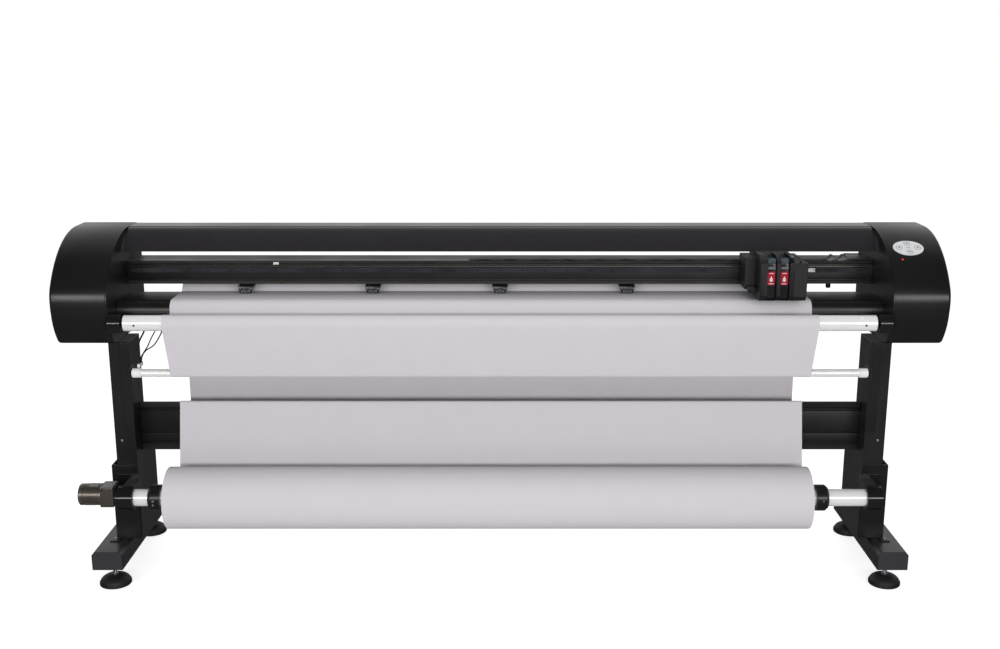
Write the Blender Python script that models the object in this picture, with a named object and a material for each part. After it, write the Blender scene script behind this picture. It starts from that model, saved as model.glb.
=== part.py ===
"""Wide-format upright printer cutter on a floor stand, with its carriage, paper path and take-up roll.

Metres. X runs along the bed, -Y is the operator's side, +Z is up, and the floor is Z = 0.
"""

import math

import bmesh
import bpy
from mathutils import Matrix, Vector

# ---------------------------------------------------------------- driving dimensions
CLEAR = 0.0003  # gap between two pieces that touch
MEDIA_WIDTH = 1.800
MEDIA_SHIFT = -0.026  # the web runs a little left of centre
ROLL_SHIFT = -0.033
SIDE_MARGIN = 0.1744  # media half width to the side plate
PAPER = 0.0005

# Head: heights are above HEAD_BASE, the underside of the end housings.
HEAD_BASE = 0.705
HEAD_HEIGHT = 0.302
HEAD_REAR_Y = 0.190
NOSE_Y = -0.1655
NOSE_HEIGHT = 0.132
CROWN_RADIUS = 0.278
CROWN_Y = 0.0835
REAR_CORNER = 0.042
HOUSING_WIDTH = 0.1533
HOUSING_WALL = 0.003
HOUSING_ROUND = 0.008
PLATE_THICK = 0.004

# Lid over the carriage
LID_SEAM_Y = 0.0775
LID_REAR_Y = 0.148
LID_FRONT_Y = 0.0014
LID_DROP = 0.061
LID_THICK = 0.0025
LID_FLANGE = 0.030
LID_SEAM = 0.0045
LID_LEDGE = 0.012
LID_PIN_RADIUS = 0.0025

# Carriage beam
BEAM_FRONT_Y = 0.040
BEAM_DEPTH = 0.070
BEAM_BOTTOM = 0.139
BEAM_HEIGHT = 0.068
BEAM_WALL = 0.004
BEAM_GROOVE = 0.0025
BEAM_GROOVES = (0.057, 0.013)  # heights above the beam's underside
BEAM_CREST = 0.004  # the rear of the top stands up by this
SHAFT_GROOVE = 0.016
SHAFT_GROOVE_DEPTH = 0.013
RAIL_THICK = 0.0095
RAIL_HEIGHT = 0.014
RAIL_BOTTOM = 0.174

# Platen
PLATEN_TOP = 0.1125
PLATEN_FRONT_Y = -0.0555
PLATEN_REAR_Y = 0.0575
PLATEN_WALL = 0.004
APRON_RADIUS = 0.027
APRON_DROP = 0.072
PLATEN_SLOT = 0.060

# Pinch rollers and the feed roller under them
PINCH_COUNT = 5
PINCH_INSET = 0.168
PINCH_Y = 0.0255
PINCH_RADIUS = 0.0075
PINCH_WIDTH = 0.024
PINCH_AXLE = 0.002
ARM_WIDTH = 0.045
ARM_SHAFT_Y = 0.058
ARM_SHAFT_HEIGHT = 0.1455
ARM_SHAFT_RADIUS = 0.003
FEED_RADIUS = 0.012
FEED_SHAFT_RADIUS = 0.006
FEED_SLEEVE = 0.052

# Carriage and cartridges, placed from the media's right edge
CARRIAGE_INSET = 0.098
CARRIAGE_LEFT = 0.060
CARRIAGE_RIGHT = 0.070
CARRIAGE_WING = 0.088
CARRIAGE_FRONT_Y = -0.1235
CARRIAGE_BOTTOM = 0.122
CARRIAGE_TOP = 0.247
CARTRIDGE_WIDTH = 0.0245
CARTRIDGE_PITCH = 0.036
CARTRIDGE_FIRST = -0.027
CARTRIDGE_FRONT_Y = -0.1115
CARTRIDGE_DEPTH = 0.065
CARTRIDGE_HEIGHT = 0.1125
BAY_FLOOR = 0.0026
BAY_SIDE_GAP = 0.0005
BAY_REAR_GAP = 0.001
SKIRT = 0.010  # wall behind the bays, in front of the pinch arms
ARM_ROOM = 0.004  # underside of the carriage over the beam's

# Belt drive behind the beam
PULLEY_RADIUS = 0.012
PULLEY_INSET = 0.0294  # pulley axis to side plate
PULLEY_HEIGHT = 0.184
BELT_Y = 0.1195
BELT_WIDTH = 0.009
BELT_THICK = 0.0015
ARM_OVER_BEAM = 0.0023  # gap between the beam's crest and the carriage's arm
PIN_RADIUS = 0.003
MOTOR_SIDE = 0.042
MOTOR_LENGTH = 0.045

# Guide tube at the front of the head
UPPER_TUBE_RADIUS = 0.022
UPPER_TUBE_Y = -0.1535
UPPER_TUBE_HEIGHT = 0.068
UPPER_HUB = 0.035
UPPER_HUB_RADIUS = 0.026
UPPER_END_GAP = 0.006
TUBE_WALL = 0.0025
SPINDLE_RADIUS = 0.008
SPINDLE_GAP = 0.0003
SPINDLE_LENGTH = 0.023

# Stand
LEG_INSET = 0.0304  # leg's inner face to side plate
LEG_WIDTH = 0.0585
LEG_FRONT_Y = -0.0935
LEG_DEPTH = 0.102
LEG_FOOT_DEPTH = 0.1845
LEG_WALL = 0.004
FOOT_BEAM_WIDTH = 0.087
FOOT_BEAM_SHIFT = 0.0001  # foot beam's inner face past the side plate's
FOOT_INSET = 0.0066  # feet, inwards of the middle of their beam
FOOT_BEAM_HEIGHT = 0.055
FOOT_BEAM_BOTTOM = 0.060
FOOT_BEAM_FRONT_Y = -0.2005
FOOT_BEAM_LENGTH = 0.467
FOOT_BEAM_WALL = 0.004
FOOT_RADIUS = 0.045
FOOT_HEIGHT = 0.030
STEM_RADIUS = 0.006
STEM_END_INSET = 0.045
CROSS_BOTTOM = 0.365
CROSS_HEIGHT = 0.145
CROSS_FRONT_Y = -0.0335
CROSS_DEPTH = 0.0635
CROSS_WALL = 0.004
CROSS_GROOVE = 0.004
CROSS_LIP = 0.004  # the web bends round this much of the front top edge
CROSS_FALL = 0.022  # its top slopes down this much to the rear, so that the web slides over it

# Tension bar between the legs
BAR_RADIUS = 0.011
BAR_Y = -0.1035
BAR_HEIGHT = 0.617
BAR_CAP_RADIUS = 0.0135
BAR_CAP_LENGTH = 0.025
BAR_END_GAP = 0.008
BAR_PIN_RADIUS = 0.004
BAR_PIN_LENGTH = 0.014

# Take-up roll at the bottom
ROLL_RADIUS = 0.087
ROLL_Y = -0.1795
ROLL_HEIGHT = 0.273
LOWER_TUBE_RADIUS = 0.024
LOWER_HUB_RADIUS = 0.034
LOWER_HUB = 0.045
COLLAR_RADIUS = 0.0365
COLLAR_GAP = 0.021
COLLAR_LENGTH = 0.034
GEARBOX_SIDE = 0.058
GEARBOX_LENGTH = 0.046
TAKEUP_RADIUS = 0.0315
TAKEUP_LENGTH = 0.064
TAKEUP_RISE = 0.010  # its gearbox sits this much above the tube that it turns

# Keypad on the right housing
KEYPAD_ANGLE = math.radians(31.4)  # round the crown, from straight up
KEYPAD_INSET = 0.0631  # keypad centre to side plate
KEYPAD_WIDTH = 0.085
KEYPAD_DEPTH = 0.059
KEYPAD_THICK = 0.004
KEY_RADIUS = 0.0065
KEY_SPREAD = 0.0255
KEY_RISE = 0.0012
KEY_GAP = 0.0004

# Electrics in the housings
INLET_WIDTH = 0.048
INLET_HEIGHT = 0.028
INLET_DEPTH = 0.030
BOX_MARGIN = 0.012
BOX_WALL = 0.0015
LEAD_RADIUS = 0.0018
RIBBON_WIDTH = 0.024
RIBBON_THICK = 0.0008
RIBBON_WAVE = 0.0032

# ---------------------------------------------------------------- values worked out from them
PLATE_X = MEDIA_WIDTH / 2 + SIDE_MARGIN  # inner face of each side plate
HOUSING_X = PLATE_X + PLATE_THICK + CLEAR
HEAD_TOP = HEAD_BASE + HEAD_HEIGHT
CROWN_Z = HEAD_TOP - CROWN_RADIUS
PLATEN_Z = HEAD_BASE + PLATEN_TOP
FEED_Z = PLATEN_Z + CLEAR - FEED_RADIUS
SHEET_Z = PLATEN_Z + 2 * CLEAR + PAPER / 2  # middle of the sheet on the platen
PINCH_Z = SHEET_Z + PAPER / 2 + CLEAR + PINCH_RADIUS
ARM_SHAFT_Z = HEAD_BASE + ARM_SHAFT_HEIGHT
BEAM_Z = HEAD_BASE + BEAM_BOTTOM
BEAM_REAR_Y = BEAM_FRONT_Y + BEAM_DEPTH
RAIL_Z = HEAD_BASE + RAIL_BOTTOM
PULLEY_Z = HEAD_BASE + PULLEY_HEIGHT
CARRIAGE_X = MEDIA_SHIFT + MEDIA_WIDTH / 2 - CARRIAGE_INSET
UPPER_TUBE_Z = HEAD_BASE + UPPER_TUBE_HEIGHT
LEG_X = PLATE_X - LEG_INSET  # inner face of each leg
FOOT_BEAM_TOP = FOOT_BEAM_BOTTOM + FOOT_BEAM_HEIGHT
FOOT_BEAM_X = PLATE_X + FOOT_BEAM_SHIFT + FOOT_BEAM_WIDTH / 2
FOOT_X = FOOT_BEAM_X - FOOT_INSET
CROSS_TOP = CROSS_BOTTOM + CROSS_HEIGHT
SHEET_LEFT = MEDIA_SHIFT - MEDIA_WIDTH / 2
SHEET_RIGHT = MEDIA_SHIFT + MEDIA_WIDTH / 2
ROLL_LEFT = ROLL_SHIFT - MEDIA_WIDTH / 2
ROLL_RIGHT = ROLL_SHIFT + MEDIA_WIDTH / 2
LID_TOP = HEAD_TOP - 0.001
LID_AXIS = (0, LID_SEAM_Y - LID_PIN_RADIUS, LID_TOP - LID_THICK - LID_PIN_RADIUS / 2)
SIDES = (("left", -1), ("right", 1))
LOOKS = {}


# ---------------------------------------------------------------- making shapes
def look(name, colour, roughness, metallic=0.0):
    """The named Principled material, made once."""
    if name not in LOOKS:
        material = bpy.data.materials.new(name)
        material.use_nodes = True
        shader = material.node_tree.nodes["Principled BSDF"]
        shader.inputs["Base Color"].default_value = (*colour, 1)
        shader.inputs["Roughness"].default_value = roughness
        shader.inputs["Metallic"].default_value = metallic
        LOOKS[name] = material
    return LOOKS[name]


def black_paint():
    return look("black paint", (0.02, 0.02, 0.021), 0.45, 0.2)


def black_plastic():
    return look("black plastic", (0.016, 0.015, 0.016), 0.35)


def white_paper():
    return look("white paper", (0.78, 0.77, 0.79), 0.8)


def bare_metal():
    return look("bare metal", (0.62, 0.62, 0.64), 0.3, 1.0)


def to_object(name, bm, material, smooth=False):
    bmesh.ops.recalc_face_normals(bm, faces=bm.faces)
    mesh = bpy.data.meshes.new(name)
    bm.to_mesh(mesh)
    bm.free()
    mesh.materials.append(material)
    if smooth:
        mesh.shade_smooth()
        mesh.set_sharp_from_angle(angle=math.radians(35))
    obj = bpy.data.objects.new(name, mesh)
    bpy.context.scene.collection.objects.link(obj)
    return obj


def loft(name, rings, material, smooth=False, closed=False):
    """One skin over rings of equally many points, capped at its ends unless the last ring meets the first."""
    bm = bmesh.new()
    rows = [[bm.verts.new(point) for point in ring] for ring in rings]
    pairs = list(zip(rows, rows[1:]))
    if closed:
        pairs.append((rows[-1], rows[0]))
    else:
        bm.faces.new(rows[0])
        bm.faces.new(rows[-1])
    for one, two in pairs:
        if len(one) == 1:
            one = one * len(two)
        if len(two) == 1:
            two = two * len(one)
        for i in range(len(one)):
            j = (i + 1) % len(one)
            corners = dict.fromkeys((one[i], one[j], two[j], two[i]))
            bm.faces.new(list(corners))
    return to_object(name, bm, material, smooth)


def prism(name, outline, low, high, material, axis="X", smooth=False):
    """An outline drawn across the axis and pushed along it. The outline is YZ for X, XZ for Y, XY for Z."""
    def at(a, b, t):
        return {"X": (t, a, b), "Y": (a, t, b), "Z": (a, b, t)}[axis]

    rings = [[at(a, b, t) for a, b in outline] for t in (low, high)]
    return loft(name, rings, material, smooth)


def block(name, low, high, material):
    """A box between two corners."""
    outline = [(low[1], low[2]), (high[1], low[2]), (high[1], high[2]), (low[1], high[2])]
    return prism(name, outline, low[0], high[0], material)


def turned(name, axis, centre, profile, material, sides=24):
    """A closed profile of (radius, distance along the axis) points, turned about the axis through centre."""
    bm = bmesh.new()
    rows = []
    for radius, along in profile:
        angles = [2 * math.pi * i / sides for i in range(sides if radius else 1)]
        row = []
        for angle in angles:
            a, b = radius * math.cos(angle), radius * math.sin(angle)
            offset = {"X": (along, a, b), "Y": (b, along, a), "Z": (a, b, along)}[axis]
            row.append(bm.verts.new(Vector(centre) + Vector(offset)))
        rows.append(row)
    pairs = list(zip(rows, rows[1:]))
    if profile[0][0] and profile[-1][0]:
        pairs.append((rows[-1], rows[0]))
    for one, two in pairs:
        if len(one) == len(two) == 1:
            continue
        for i in range(sides):
            j = (i + 1) % sides
            corners = dict.fromkeys(
                (one[i % len(one)], one[j % len(one)], two[j % len(two)], two[i % len(two)])
            )
            bm.faces.new(list(corners))
    return to_object(name, bm, material, smooth=True)


def rod(name, axis, centre, radius, low, high, material, sides=24):
    return turned(name, axis, centre, [(0, low), (radius, low), (radius, high), (0, high)], material, sides)


def boolean(obj, other, operation):
    """Cuts the other object away from obj, or joins it on. The other one stays as a hidden helper."""
    modifier = obj.modifiers.new(other.name, "BOOLEAN")
    modifier.operation = operation
    modifier.object = other
    other.hide_render = True
    other.display_type = "WIRE"


def cut(obj, *others):
    for other in others:
        boolean(obj, other, "DIFFERENCE")


def join(obj, *others):
    for other in others:
        boolean(obj, other, "UNION")


def pivot(obj, point):
    """Moves the object's origin to its joint's axis, leaving the shape where it is."""
    obj.data.transform(Matrix.Translation(-Vector(point)))
    obj.location = point


def arc(centre, radius, start, end, steps):
    """Points round a centre, from start to end in degrees, anticlockwise from the first axis."""
    angles = [math.radians(start + (end - start) * i / steps) for i in range(steps + 1)]
    return [(centre[0] + radius * math.cos(a), centre[1] + radius * math.sin(a)) for a in angles]


def inset(outline, distance):
    """An anticlockwise outline moved inwards by a distance, corner by corner."""
    moved = []
    for i, here in enumerate(outline):
        before = Vector(here) - Vector(outline[i - 1])
        after = Vector(outline[(i + 1) % len(outline)]) - Vector(here)
        one = Vector((-before.y, before.x)).normalized()
        two = Vector((-after.y, after.x)).normalized()
        mitre = (one + two) / (1 + one.dot(two))
        moved.append(tuple(Vector(here) + mitre * distance))
    return moved


def ribbon(path, thickness):
    """The outline of a sheet of even thickness along a path."""
    sides = ([], [])
    for i, here in enumerate(path):
        along = Vector(path[min(i + 1, len(path) - 1)]) - Vector(path[max(i - 1, 0)])
        across = Vector((-along.y, along.x)).normalized() * thickness / 2
        sides[0].append(tuple(Vector(here) + across))
        sides[1].append(tuple(Vector(here) - across))
    return sides[0] + sides[1][::-1]


def smooth_path(points, steps):
    """A curve through the points, with a few straight steps between each pair."""
    ends = [Vector(points[0]) * 2 - Vector(points[1])]
    ends += [Vector(p) for p in points]
    ends.append(Vector(points[-1]) * 2 - Vector(points[-2]))
    out = []
    for a, b, c, d in zip(ends, ends[1:], ends[2:], ends[3:]):
        for i in range(steps):
            t = i / steps
            point = b + (c - a) * t / 2 + (a * 2 - b * 5 + c * 4 - d) * t * t / 2
            point += (b * 3 - a - c * 3 + d) * t * t * t / 2
            out.append(tuple(point))
    out.append(tuple(points[-1]))
    return out


# ---------------------------------------------------------------- stand
def foot_beam(side, way):
    """Square tube under a leg, closed at the front by its cap and open at the rear."""
    x = way * FOOT_BEAM_X
    half = FOOT_BEAM_WIDTH / 2
    rear = FOOT_BEAM_FRONT_Y + FOOT_BEAM_LENGTH
    obj = block(
        f"foot_beam_{side}",
        (x - half, FOOT_BEAM_FRONT_Y, FOOT_BEAM_BOTTOM),
        (x + half, rear, FOOT_BEAM_TOP),
        black_paint(),
    )
    wall = FOOT_BEAM_WALL
    hollow = block(
        f"foot_beam_{side}_hollow",
        (x - half + wall, FOOT_BEAM_FRONT_Y + wall, FOOT_BEAM_BOTTOM + wall),
        (x + half - wall, rear + wall, FOOT_BEAM_TOP - wall),
        black_paint(),
    )
    cut(obj, hollow)
    for end, y in stem_places():
        hole = rod(
            f"foot_beam_{side}_{end}_hole", "Z", (way * FOOT_X, y, 0), STEM_RADIUS + CLEAR,
            FOOT_BEAM_BOTTOM - wall, FOOT_BEAM_BOTTOM + 2 * wall, black_paint(),
        )
        cut(obj, hole)


def stem_places():
    rear = FOOT_BEAM_FRONT_Y + FOOT_BEAM_LENGTH
    return (("front", FOOT_BEAM_FRONT_Y + STEM_END_INSET), ("rear", rear - STEM_END_INSET))


def levelling_foot(side, way, end, y):
    """Domed foot on a threaded stem that runs up into the foot beam, with the lock nut under the beam."""
    neck = STEM_RADIUS * 1.7
    dome = arc((0, FOOT_HEIGHT * 0.3), 1, 0, 80, 5)
    profile = [(0, 0), (FOOT_RADIUS, 0)]
    profile += [
        (neck + (FOOT_RADIUS - neck) * a, FOOT_HEIGHT * 0.3 + (z - FOOT_HEIGHT * 0.3) * FOOT_HEIGHT * 0.7)
        for a, z in dome
    ]
    profile += [(neck, FOOT_HEIGHT), (STEM_RADIUS, FOOT_HEIGHT)]
    nut_top = FOOT_BEAM_BOTTOM - CLEAR
    nut_bottom = nut_top - STEM_RADIUS
    profile += [(STEM_RADIUS, nut_bottom), (STEM_RADIUS * 1.8, nut_bottom), (STEM_RADIUS * 1.8, nut_top)]
    profile += [(STEM_RADIUS, nut_top), (STEM_RADIUS, FOOT_BEAM_TOP - 2 * FOOT_BEAM_WALL)]
    profile += [(0, FOOT_BEAM_TOP - 2 * FOOT_BEAM_WALL)]
    centre = (way * FOOT_X, y, 0)
    obj = turned(f"levelling_foot_{end}_{side}", "Z", centre, profile, look("foot", (0.03, 0.03, 0.03), 0.5))
    pivot(obj, centre)


def leg(side, way):
    """Pressed upright, deeper below the cross beam, open on its outer side, with the tension bar's arm."""
    name = f"leg_{side}"
    front, rear = LEG_FRONT_Y, LEG_FRONT_Y + LEG_DEPTH
    foot_rear = LEG_FRONT_Y + LEG_FOOT_DEPTH
    low, high = FOOT_BEAM_TOP + CLEAR, HEAD_BASE - CLEAR
    outline = [
        (front, low),
        (foot_rear, low),
        (foot_rear, CROSS_BOTTOM - 0.045),
        (rear, CROSS_BOTTOM + 0.020),
        (rear, high),
        (front, high),
    ]
    inner, outer = way * LEG_X, way * (LEG_X + LEG_WIDTH)
    obj = prism(name, outline, inner, outer, black_paint())
    wall = way * LEG_WALL
    hollow = prism(f"{name}_hollow", inset(outline, LEG_WALL), inner + wall, outer + wall, black_paint())
    cut(obj, hollow)
    arm_in = way * (LEG_X - BAR_END_GAP / 2)
    arm = block(
        f"{name}_arm",
        (min(arm_in, way * (LEG_X + LEG_WALL / 2)), BAR_Y - BAR_CAP_RADIUS, BAR_HEIGHT - BAR_CAP_RADIUS),
        (max(arm_in, way * (LEG_X + LEG_WALL / 2)), LEG_FRONT_Y + 0.030, BAR_HEIGHT + BAR_CAP_RADIUS),
        black_paint(),
    )
    pin_end = way * (LEG_X - BAR_END_GAP - BAR_PIN_LENGTH)
    pin = rod(
        f"{name}_pin", "X", (0, BAR_Y, BAR_HEIGHT), BAR_PIN_RADIUS,
        *sorted((pin_end, way * (LEG_X - 0.001))), black_paint(), 16,
    )
    join(obj, arm, pin)


def cross_beam():
    """Grooved extrusion between the legs."""
    front, rear = CROSS_FRONT_Y, CROSS_FRONT_Y + CROSS_DEPTH
    g = CROSS_GROOVE
    low, high = CROSS_BOTTOM, CROSS_TOP
    flat = front + 1.5 * CROSS_LIP
    outline = [(front, low), (rear, low), (rear, high - CROSS_FALL), (flat, high), (front, high)]
    for height, width in ((0.118, 0.010), (0.050, 0.006), (0.018, 0.006)):
        z = low + height
        outline += [(front, z + width), (front + g, z + width - 0.002), (front + g, z + 0.002), (front, z)]
    x = LEG_X - CLEAR
    obj = prism("cross_beam", outline, -x, x, black_paint())
    wall = CROSS_WALL + g
    inside = [
        (front + wall, low + CROSS_WALL),
        (rear - CROSS_WALL, low + CROSS_WALL),
        (rear - CROSS_WALL, high - CROSS_WALL - CROSS_FALL),
        (front + wall, high - CROSS_WALL),
    ]
    cut(obj, prism("cross_beam_hollow", inside, -x - wall, x + wall, black_paint()))


# ---------------------------------------------------------------- head
def head_outline():
    """Side view of the head: flat top, round crown, nose, and a face that falls back to the bottom."""
    nose_z = HEAD_BASE + NOSE_HEIGHT
    sweep = math.degrees(math.acos((nose_z + 0.031 - CROWN_Z) / CROWN_RADIUS))
    crown = arc((CROWN_Y, CROWN_Z), CROWN_RADIUS, 90, 90 + sweep, 14)
    corner = arc(
        (HEAD_REAR_Y - REAR_CORNER, HEAD_TOP - REAR_CORNER), REAR_CORNER, 0, 90, 5
    )
    face = [
        (NOSE_Y + 0.0033, nose_z + 0.018),
        (NOSE_Y + 0.0005, nose_z + 0.003),
        (NOSE_Y, nose_z - 0.011),
        (NOSE_Y + 0.0015, nose_z - 0.031),
        (NOSE_Y + 0.0065, nose_z - 0.061),
        (NOSE_Y + 0.0185, HEAD_BASE + 0.0395),
        (NOSE_Y + 0.0375, HEAD_BASE + 0.0095),
        (NOSE_Y + 0.0500, HEAD_BASE + 0.0020),
        (NOSE_Y + 0.0600, HEAD_BASE),
    ]
    return [(HEAD_REAR_Y, HEAD_BASE)] + corner + crown + face


def side_plate(side, way):
    """Steel end plate that carries the beam, the platen and the rollers."""
    name = f"side_plate_{side}"
    obj = prism(name, head_outline(), way * PLATE_X, way * (PLATE_X + PLATE_THICK), black_paint())
    hole = rod(
        f"{name}_hole", "X", (0, PINCH_Y, FEED_Z), FEED_SHAFT_RADIUS + CLEAR,
        *sorted((way * (PLATE_X - PLATE_THICK), way * (PLATE_X + 2 * PLATE_THICK))), black_paint(),
    )
    lid_hole = rod(
        f"{name}_lid_hole", "X", LID_AXIS, LID_PIN_RADIUS + CLEAR,
        *sorted((way * (PLATE_X - PLATE_THICK), way * (PLATE_X + 2 * PLATE_THICK))), black_paint(), 16,
    )
    cut(obj, hole, lid_hole)
    if way > 0:
        return
    behind = BELT_Y + BELT_WIDTH + 0.004
    arm = block(
        f"{name}_idler_arm",
        (-PLATE_X - PLATE_THICK / 2, behind, PULLEY_Z - PULLEY_RADIUS),
        (-PLATE_X + PULLEY_INSET + PULLEY_RADIUS, behind + 0.006, PULLEY_Z + PULLEY_RADIUS),
        black_paint(),
    )
    pin = rod(
        f"{name}_idler_pin", "Y", (-PLATE_X + PULLEY_INSET, 0, PULLEY_Z), PIN_RADIUS,
        BELT_Y, behind + 0.003, bare_metal(), 16,
    )
    join(obj, arm, pin)


def housing(side, way):
    """Moulded end cover, a shell open towards the side plate, with a rounded outer edge."""
    outline = head_outline()
    outer = HOUSING_X + HOUSING_WIDTH
    cavity = inset(outline, HOUSING_WALL)
    rings = [(outer - HOUSING_WALL, inset(outline, HOUSING_ROUND)), (outer - HOUSING_ROUND, cavity)]
    rings += [(HOUSING_X, cavity), (HOUSING_X, outline), (outer - HOUSING_ROUND, outline)]
    for step in (30, 60, 90):
        angle = math.radians(step)
        in_by = HOUSING_ROUND * (1 - math.cos(angle))
        rings.append((outer - HOUSING_ROUND * (1 - math.sin(angle)), inset(outline, in_by)))
    rings = [[(way * x, y, z) for y, z in ring] for x, ring in rings]
    return loft(f"housing_{side}", rings, black_plastic(), smooth=True)


def top_strip():
    """Fixed strip behind the lid, folded down at the rear and stepped under the seam in front."""
    top = LID_TOP
    outline = [
        (LID_SEAM_Y + LID_SEAM, top - LID_LEDGE + LID_THICK),
        (LID_SEAM_Y - LID_SEAM, top - LID_LEDGE + LID_THICK),
        (LID_SEAM_Y - LID_SEAM, top - LID_LEDGE),
        (LID_SEAM_Y + LID_SEAM + LID_THICK, top - LID_LEDGE),
        (LID_SEAM_Y + LID_SEAM + LID_THICK, top - LID_THICK),
        (LID_REAR_Y - LID_THICK, top - LID_THICK),
        (LID_REAR_Y - LID_THICK, top - LID_FLANGE),
        (LID_REAR_Y, top - LID_FLANGE),
        (LID_REAR_Y, top),
        (LID_SEAM_Y + LID_SEAM, top),
    ]
    x = PLATE_X - CLEAR
    prism("top_strip", outline, -x, x, black_paint())


def lid_curve(steps=10):
    """Side view of the front lid, from the seam down to its front edge."""
    top = LID_TOP
    middle = (LID_FRONT_Y + 0.019, top - LID_DROP * 0.60)
    points = [(LID_SEAM_Y, top), (LID_SEAM_Y - 0.022, top - 0.0075), middle, (LID_FRONT_Y, top - LID_DROP)]
    return smooth_path(points, steps // 3 + 1)


def front_cover():
    """Curved lid that lifts about pins under its rear edge, held in the side plates."""
    outer = lid_curve()
    inner = [p for p in inset(outer + [(LID_SEAM_Y, outer[-1][1])], LID_THICK)][: len(outer)]
    inner[0] = (outer[0][0], outer[0][1] - LID_THICK)
    inner[-1] = (outer[-1][0] + LID_THICK, outer[-1][1])
    x = PLATE_X - 0.0015
    obj = prism("front_cover", outer + inner[::-1], -x, x, black_paint(), smooth=True)
    for side, way in SIDES:
        ends = sorted((way * (PLATE_X - 0.016), way * (PLATE_X + PLATE_THICK / 2)))
        join(obj, rod(f"front_cover_pin_{side}", "X", LID_AXIS, LID_PIN_RADIUS, *ends, bare_metal(), 12))
    pivot(obj, LID_AXIS)


def main_beam():
    """Hollow extrusion with grooves along its front and a channel under it for the lift shaft."""
    front, rear, low = BEAM_FRONT_Y, BEAM_REAR_Y, BEAM_Z
    high = low + BEAM_HEIGHT
    g = BEAM_GROOVE
    groove = SHAFT_GROOVE / 2
    outline = [(front, low), (ARM_SHAFT_Y - groove, low), (ARM_SHAFT_Y - groove, low + SHAFT_GROOVE_DEPTH)]
    outline += [(ARM_SHAFT_Y + groove, low + SHAFT_GROOVE_DEPTH), (ARM_SHAFT_Y + groove, low)]
    crest = high + BEAM_CREST
    outline += [(rear, low), (rear, crest), (rear - 0.015, crest), (rear - 0.030, high), (front, high)]
    for height in BEAM_GROOVES:
        z = low + height
        outline += [(front, z + 0.003), (front + g, z + 0.002), (front + g, z - 0.002), (front, z - 0.003)]
    x = PLATE_X - CLEAR
    obj = prism("main_beam", outline, -x, x, black_paint())
    wall = BEAM_WALL
    hollow = block(
        "main_beam_hollow",
        (-x - wall, front + g + wall, low + SHAFT_GROOVE_DEPTH + wall),
        (x + wall, rear - wall, high - wall),
        black_paint(),
    )
    cut(obj, hollow)


def guide_rail():
    """Hardened strip on the beam's front face that the carriage runs on."""
    x = PLATE_X - 0.012
    rear = BEAM_FRONT_Y - CLEAR
    block(
        "guide_rail",
        (-x, rear - RAIL_THICK, RAIL_Z),
        (x, rear, RAIL_Z + RAIL_HEIGHT),
        look("rail steel", (0.09, 0.09, 0.09), 0.35, 1.0),
    )


def platen():
    """Bed with a rounded apron, slotted over the feed roller's sleeves."""
    centre = (PLATEN_FRONT_Y, PLATEN_Z - APRON_RADIUS)
    outer = [(PLATEN_REAR_Y, PLATEN_Z - APRON_RADIUS), (PLATEN_REAR_Y, PLATEN_Z)]
    outer += arc(centre, APRON_RADIUS, 90, 180, 7)
    outer.append((PLATEN_FRONT_Y - APRON_RADIUS - 0.003, PLATEN_Z - APRON_DROP))
    rear = PLATEN_REAR_Y - PLATEN_WALL
    inner = [(rear, outer[0][1]), (rear, PLATEN_Z - PLATEN_WALL)]
    inner += arc(centre, APRON_RADIUS - PLATEN_WALL, 90, 180, 7)
    inner.append((outer[-1][0] + PLATEN_WALL, outer[-1][1]))
    x = PLATE_X - CLEAR
    obj = prism("platen", outer + inner[::-1], -x, x, black_paint(), smooth=True)
    for number, place in enumerate(pinch_places(), 1):
        slot = block(
            f"platen_slot_{number}",
            (place - PLATEN_SLOT / 2, PINCH_Y - FEED_RADIUS * 0.85, PLATEN_Z - 2 * PLATEN_WALL),
            (place + PLATEN_SLOT / 2, PINCH_Y + FEED_RADIUS * 0.85, PLATEN_Z + PLATEN_WALL),
            black_paint(),
        )
        cut(obj, slot)


# ---------------------------------------------------------------- feeding
def pinch_places():
    """X of each pinch roller, evenly spread between insets from the media's edges."""
    first = -MEDIA_WIDTH / 2 + PINCH_INSET
    return [first - 2 * first * i / (PINCH_COUNT - 1) for i in range(PINCH_COUNT)]


def feed_roller():
    """Full-length shaft with a gripping sleeve under each pinch roller. It turns in the side plates."""
    end = PLATE_X + PLATE_THICK + 0.004
    profile = [(0, -end), (FEED_SHAFT_RADIUS, -end)]
    for x in pinch_places():
        low, high = x - FEED_SLEEVE / 2, x + FEED_SLEEVE / 2
        profile += [(FEED_SHAFT_RADIUS, low), (FEED_RADIUS, low)]
        profile += [(FEED_RADIUS, high), (FEED_SHAFT_RADIUS, high)]
    profile += [(FEED_SHAFT_RADIUS, end), (0, end)]
    centre = (0, PINCH_Y, FEED_Z)
    obj = turned("feed_roller", "X", centre, profile, look("grit steel", (0.35, 0.35, 0.36), 0.6, 1.0), 32)
    pivot(obj, centre)


def feed_motor():
    """Motor in the left housing, in line with the feed roller."""
    high = -(PLATE_X + PLATE_THICK + 0.004 + CLEAR)
    low = high - MOTOR_LENGTH - 0.015
    half = MOTOR_SIDE / 2
    obj = block(
        "feed_motor",
        (low, PINCH_Y - half, FEED_Z - half),
        (high, PINCH_Y + half, FEED_Z + half),
        look("motor", (0.08, 0.08, 0.085), 0.4, 0.6),
    )
    foot = block(
        "feed_motor_foot",
        (high - 0.006, PINCH_Y - half, FEED_Z - half - 0.020),
        (-(PLATE_X + PLATE_THICK + CLEAR), PINCH_Y + half, FEED_Z - half + 0.002),
        black_paint(),
    )
    join(obj, foot)


def lift_shaft():
    """Shaft in the channel under the beam that the pinch arms turn on."""
    x = PLATE_X - CLEAR
    rod("lift_shaft", "X", (0, ARM_SHAFT_Y, ARM_SHAFT_Z), ARM_SHAFT_RADIUS, -x, x, bare_metal(), 16)


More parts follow.
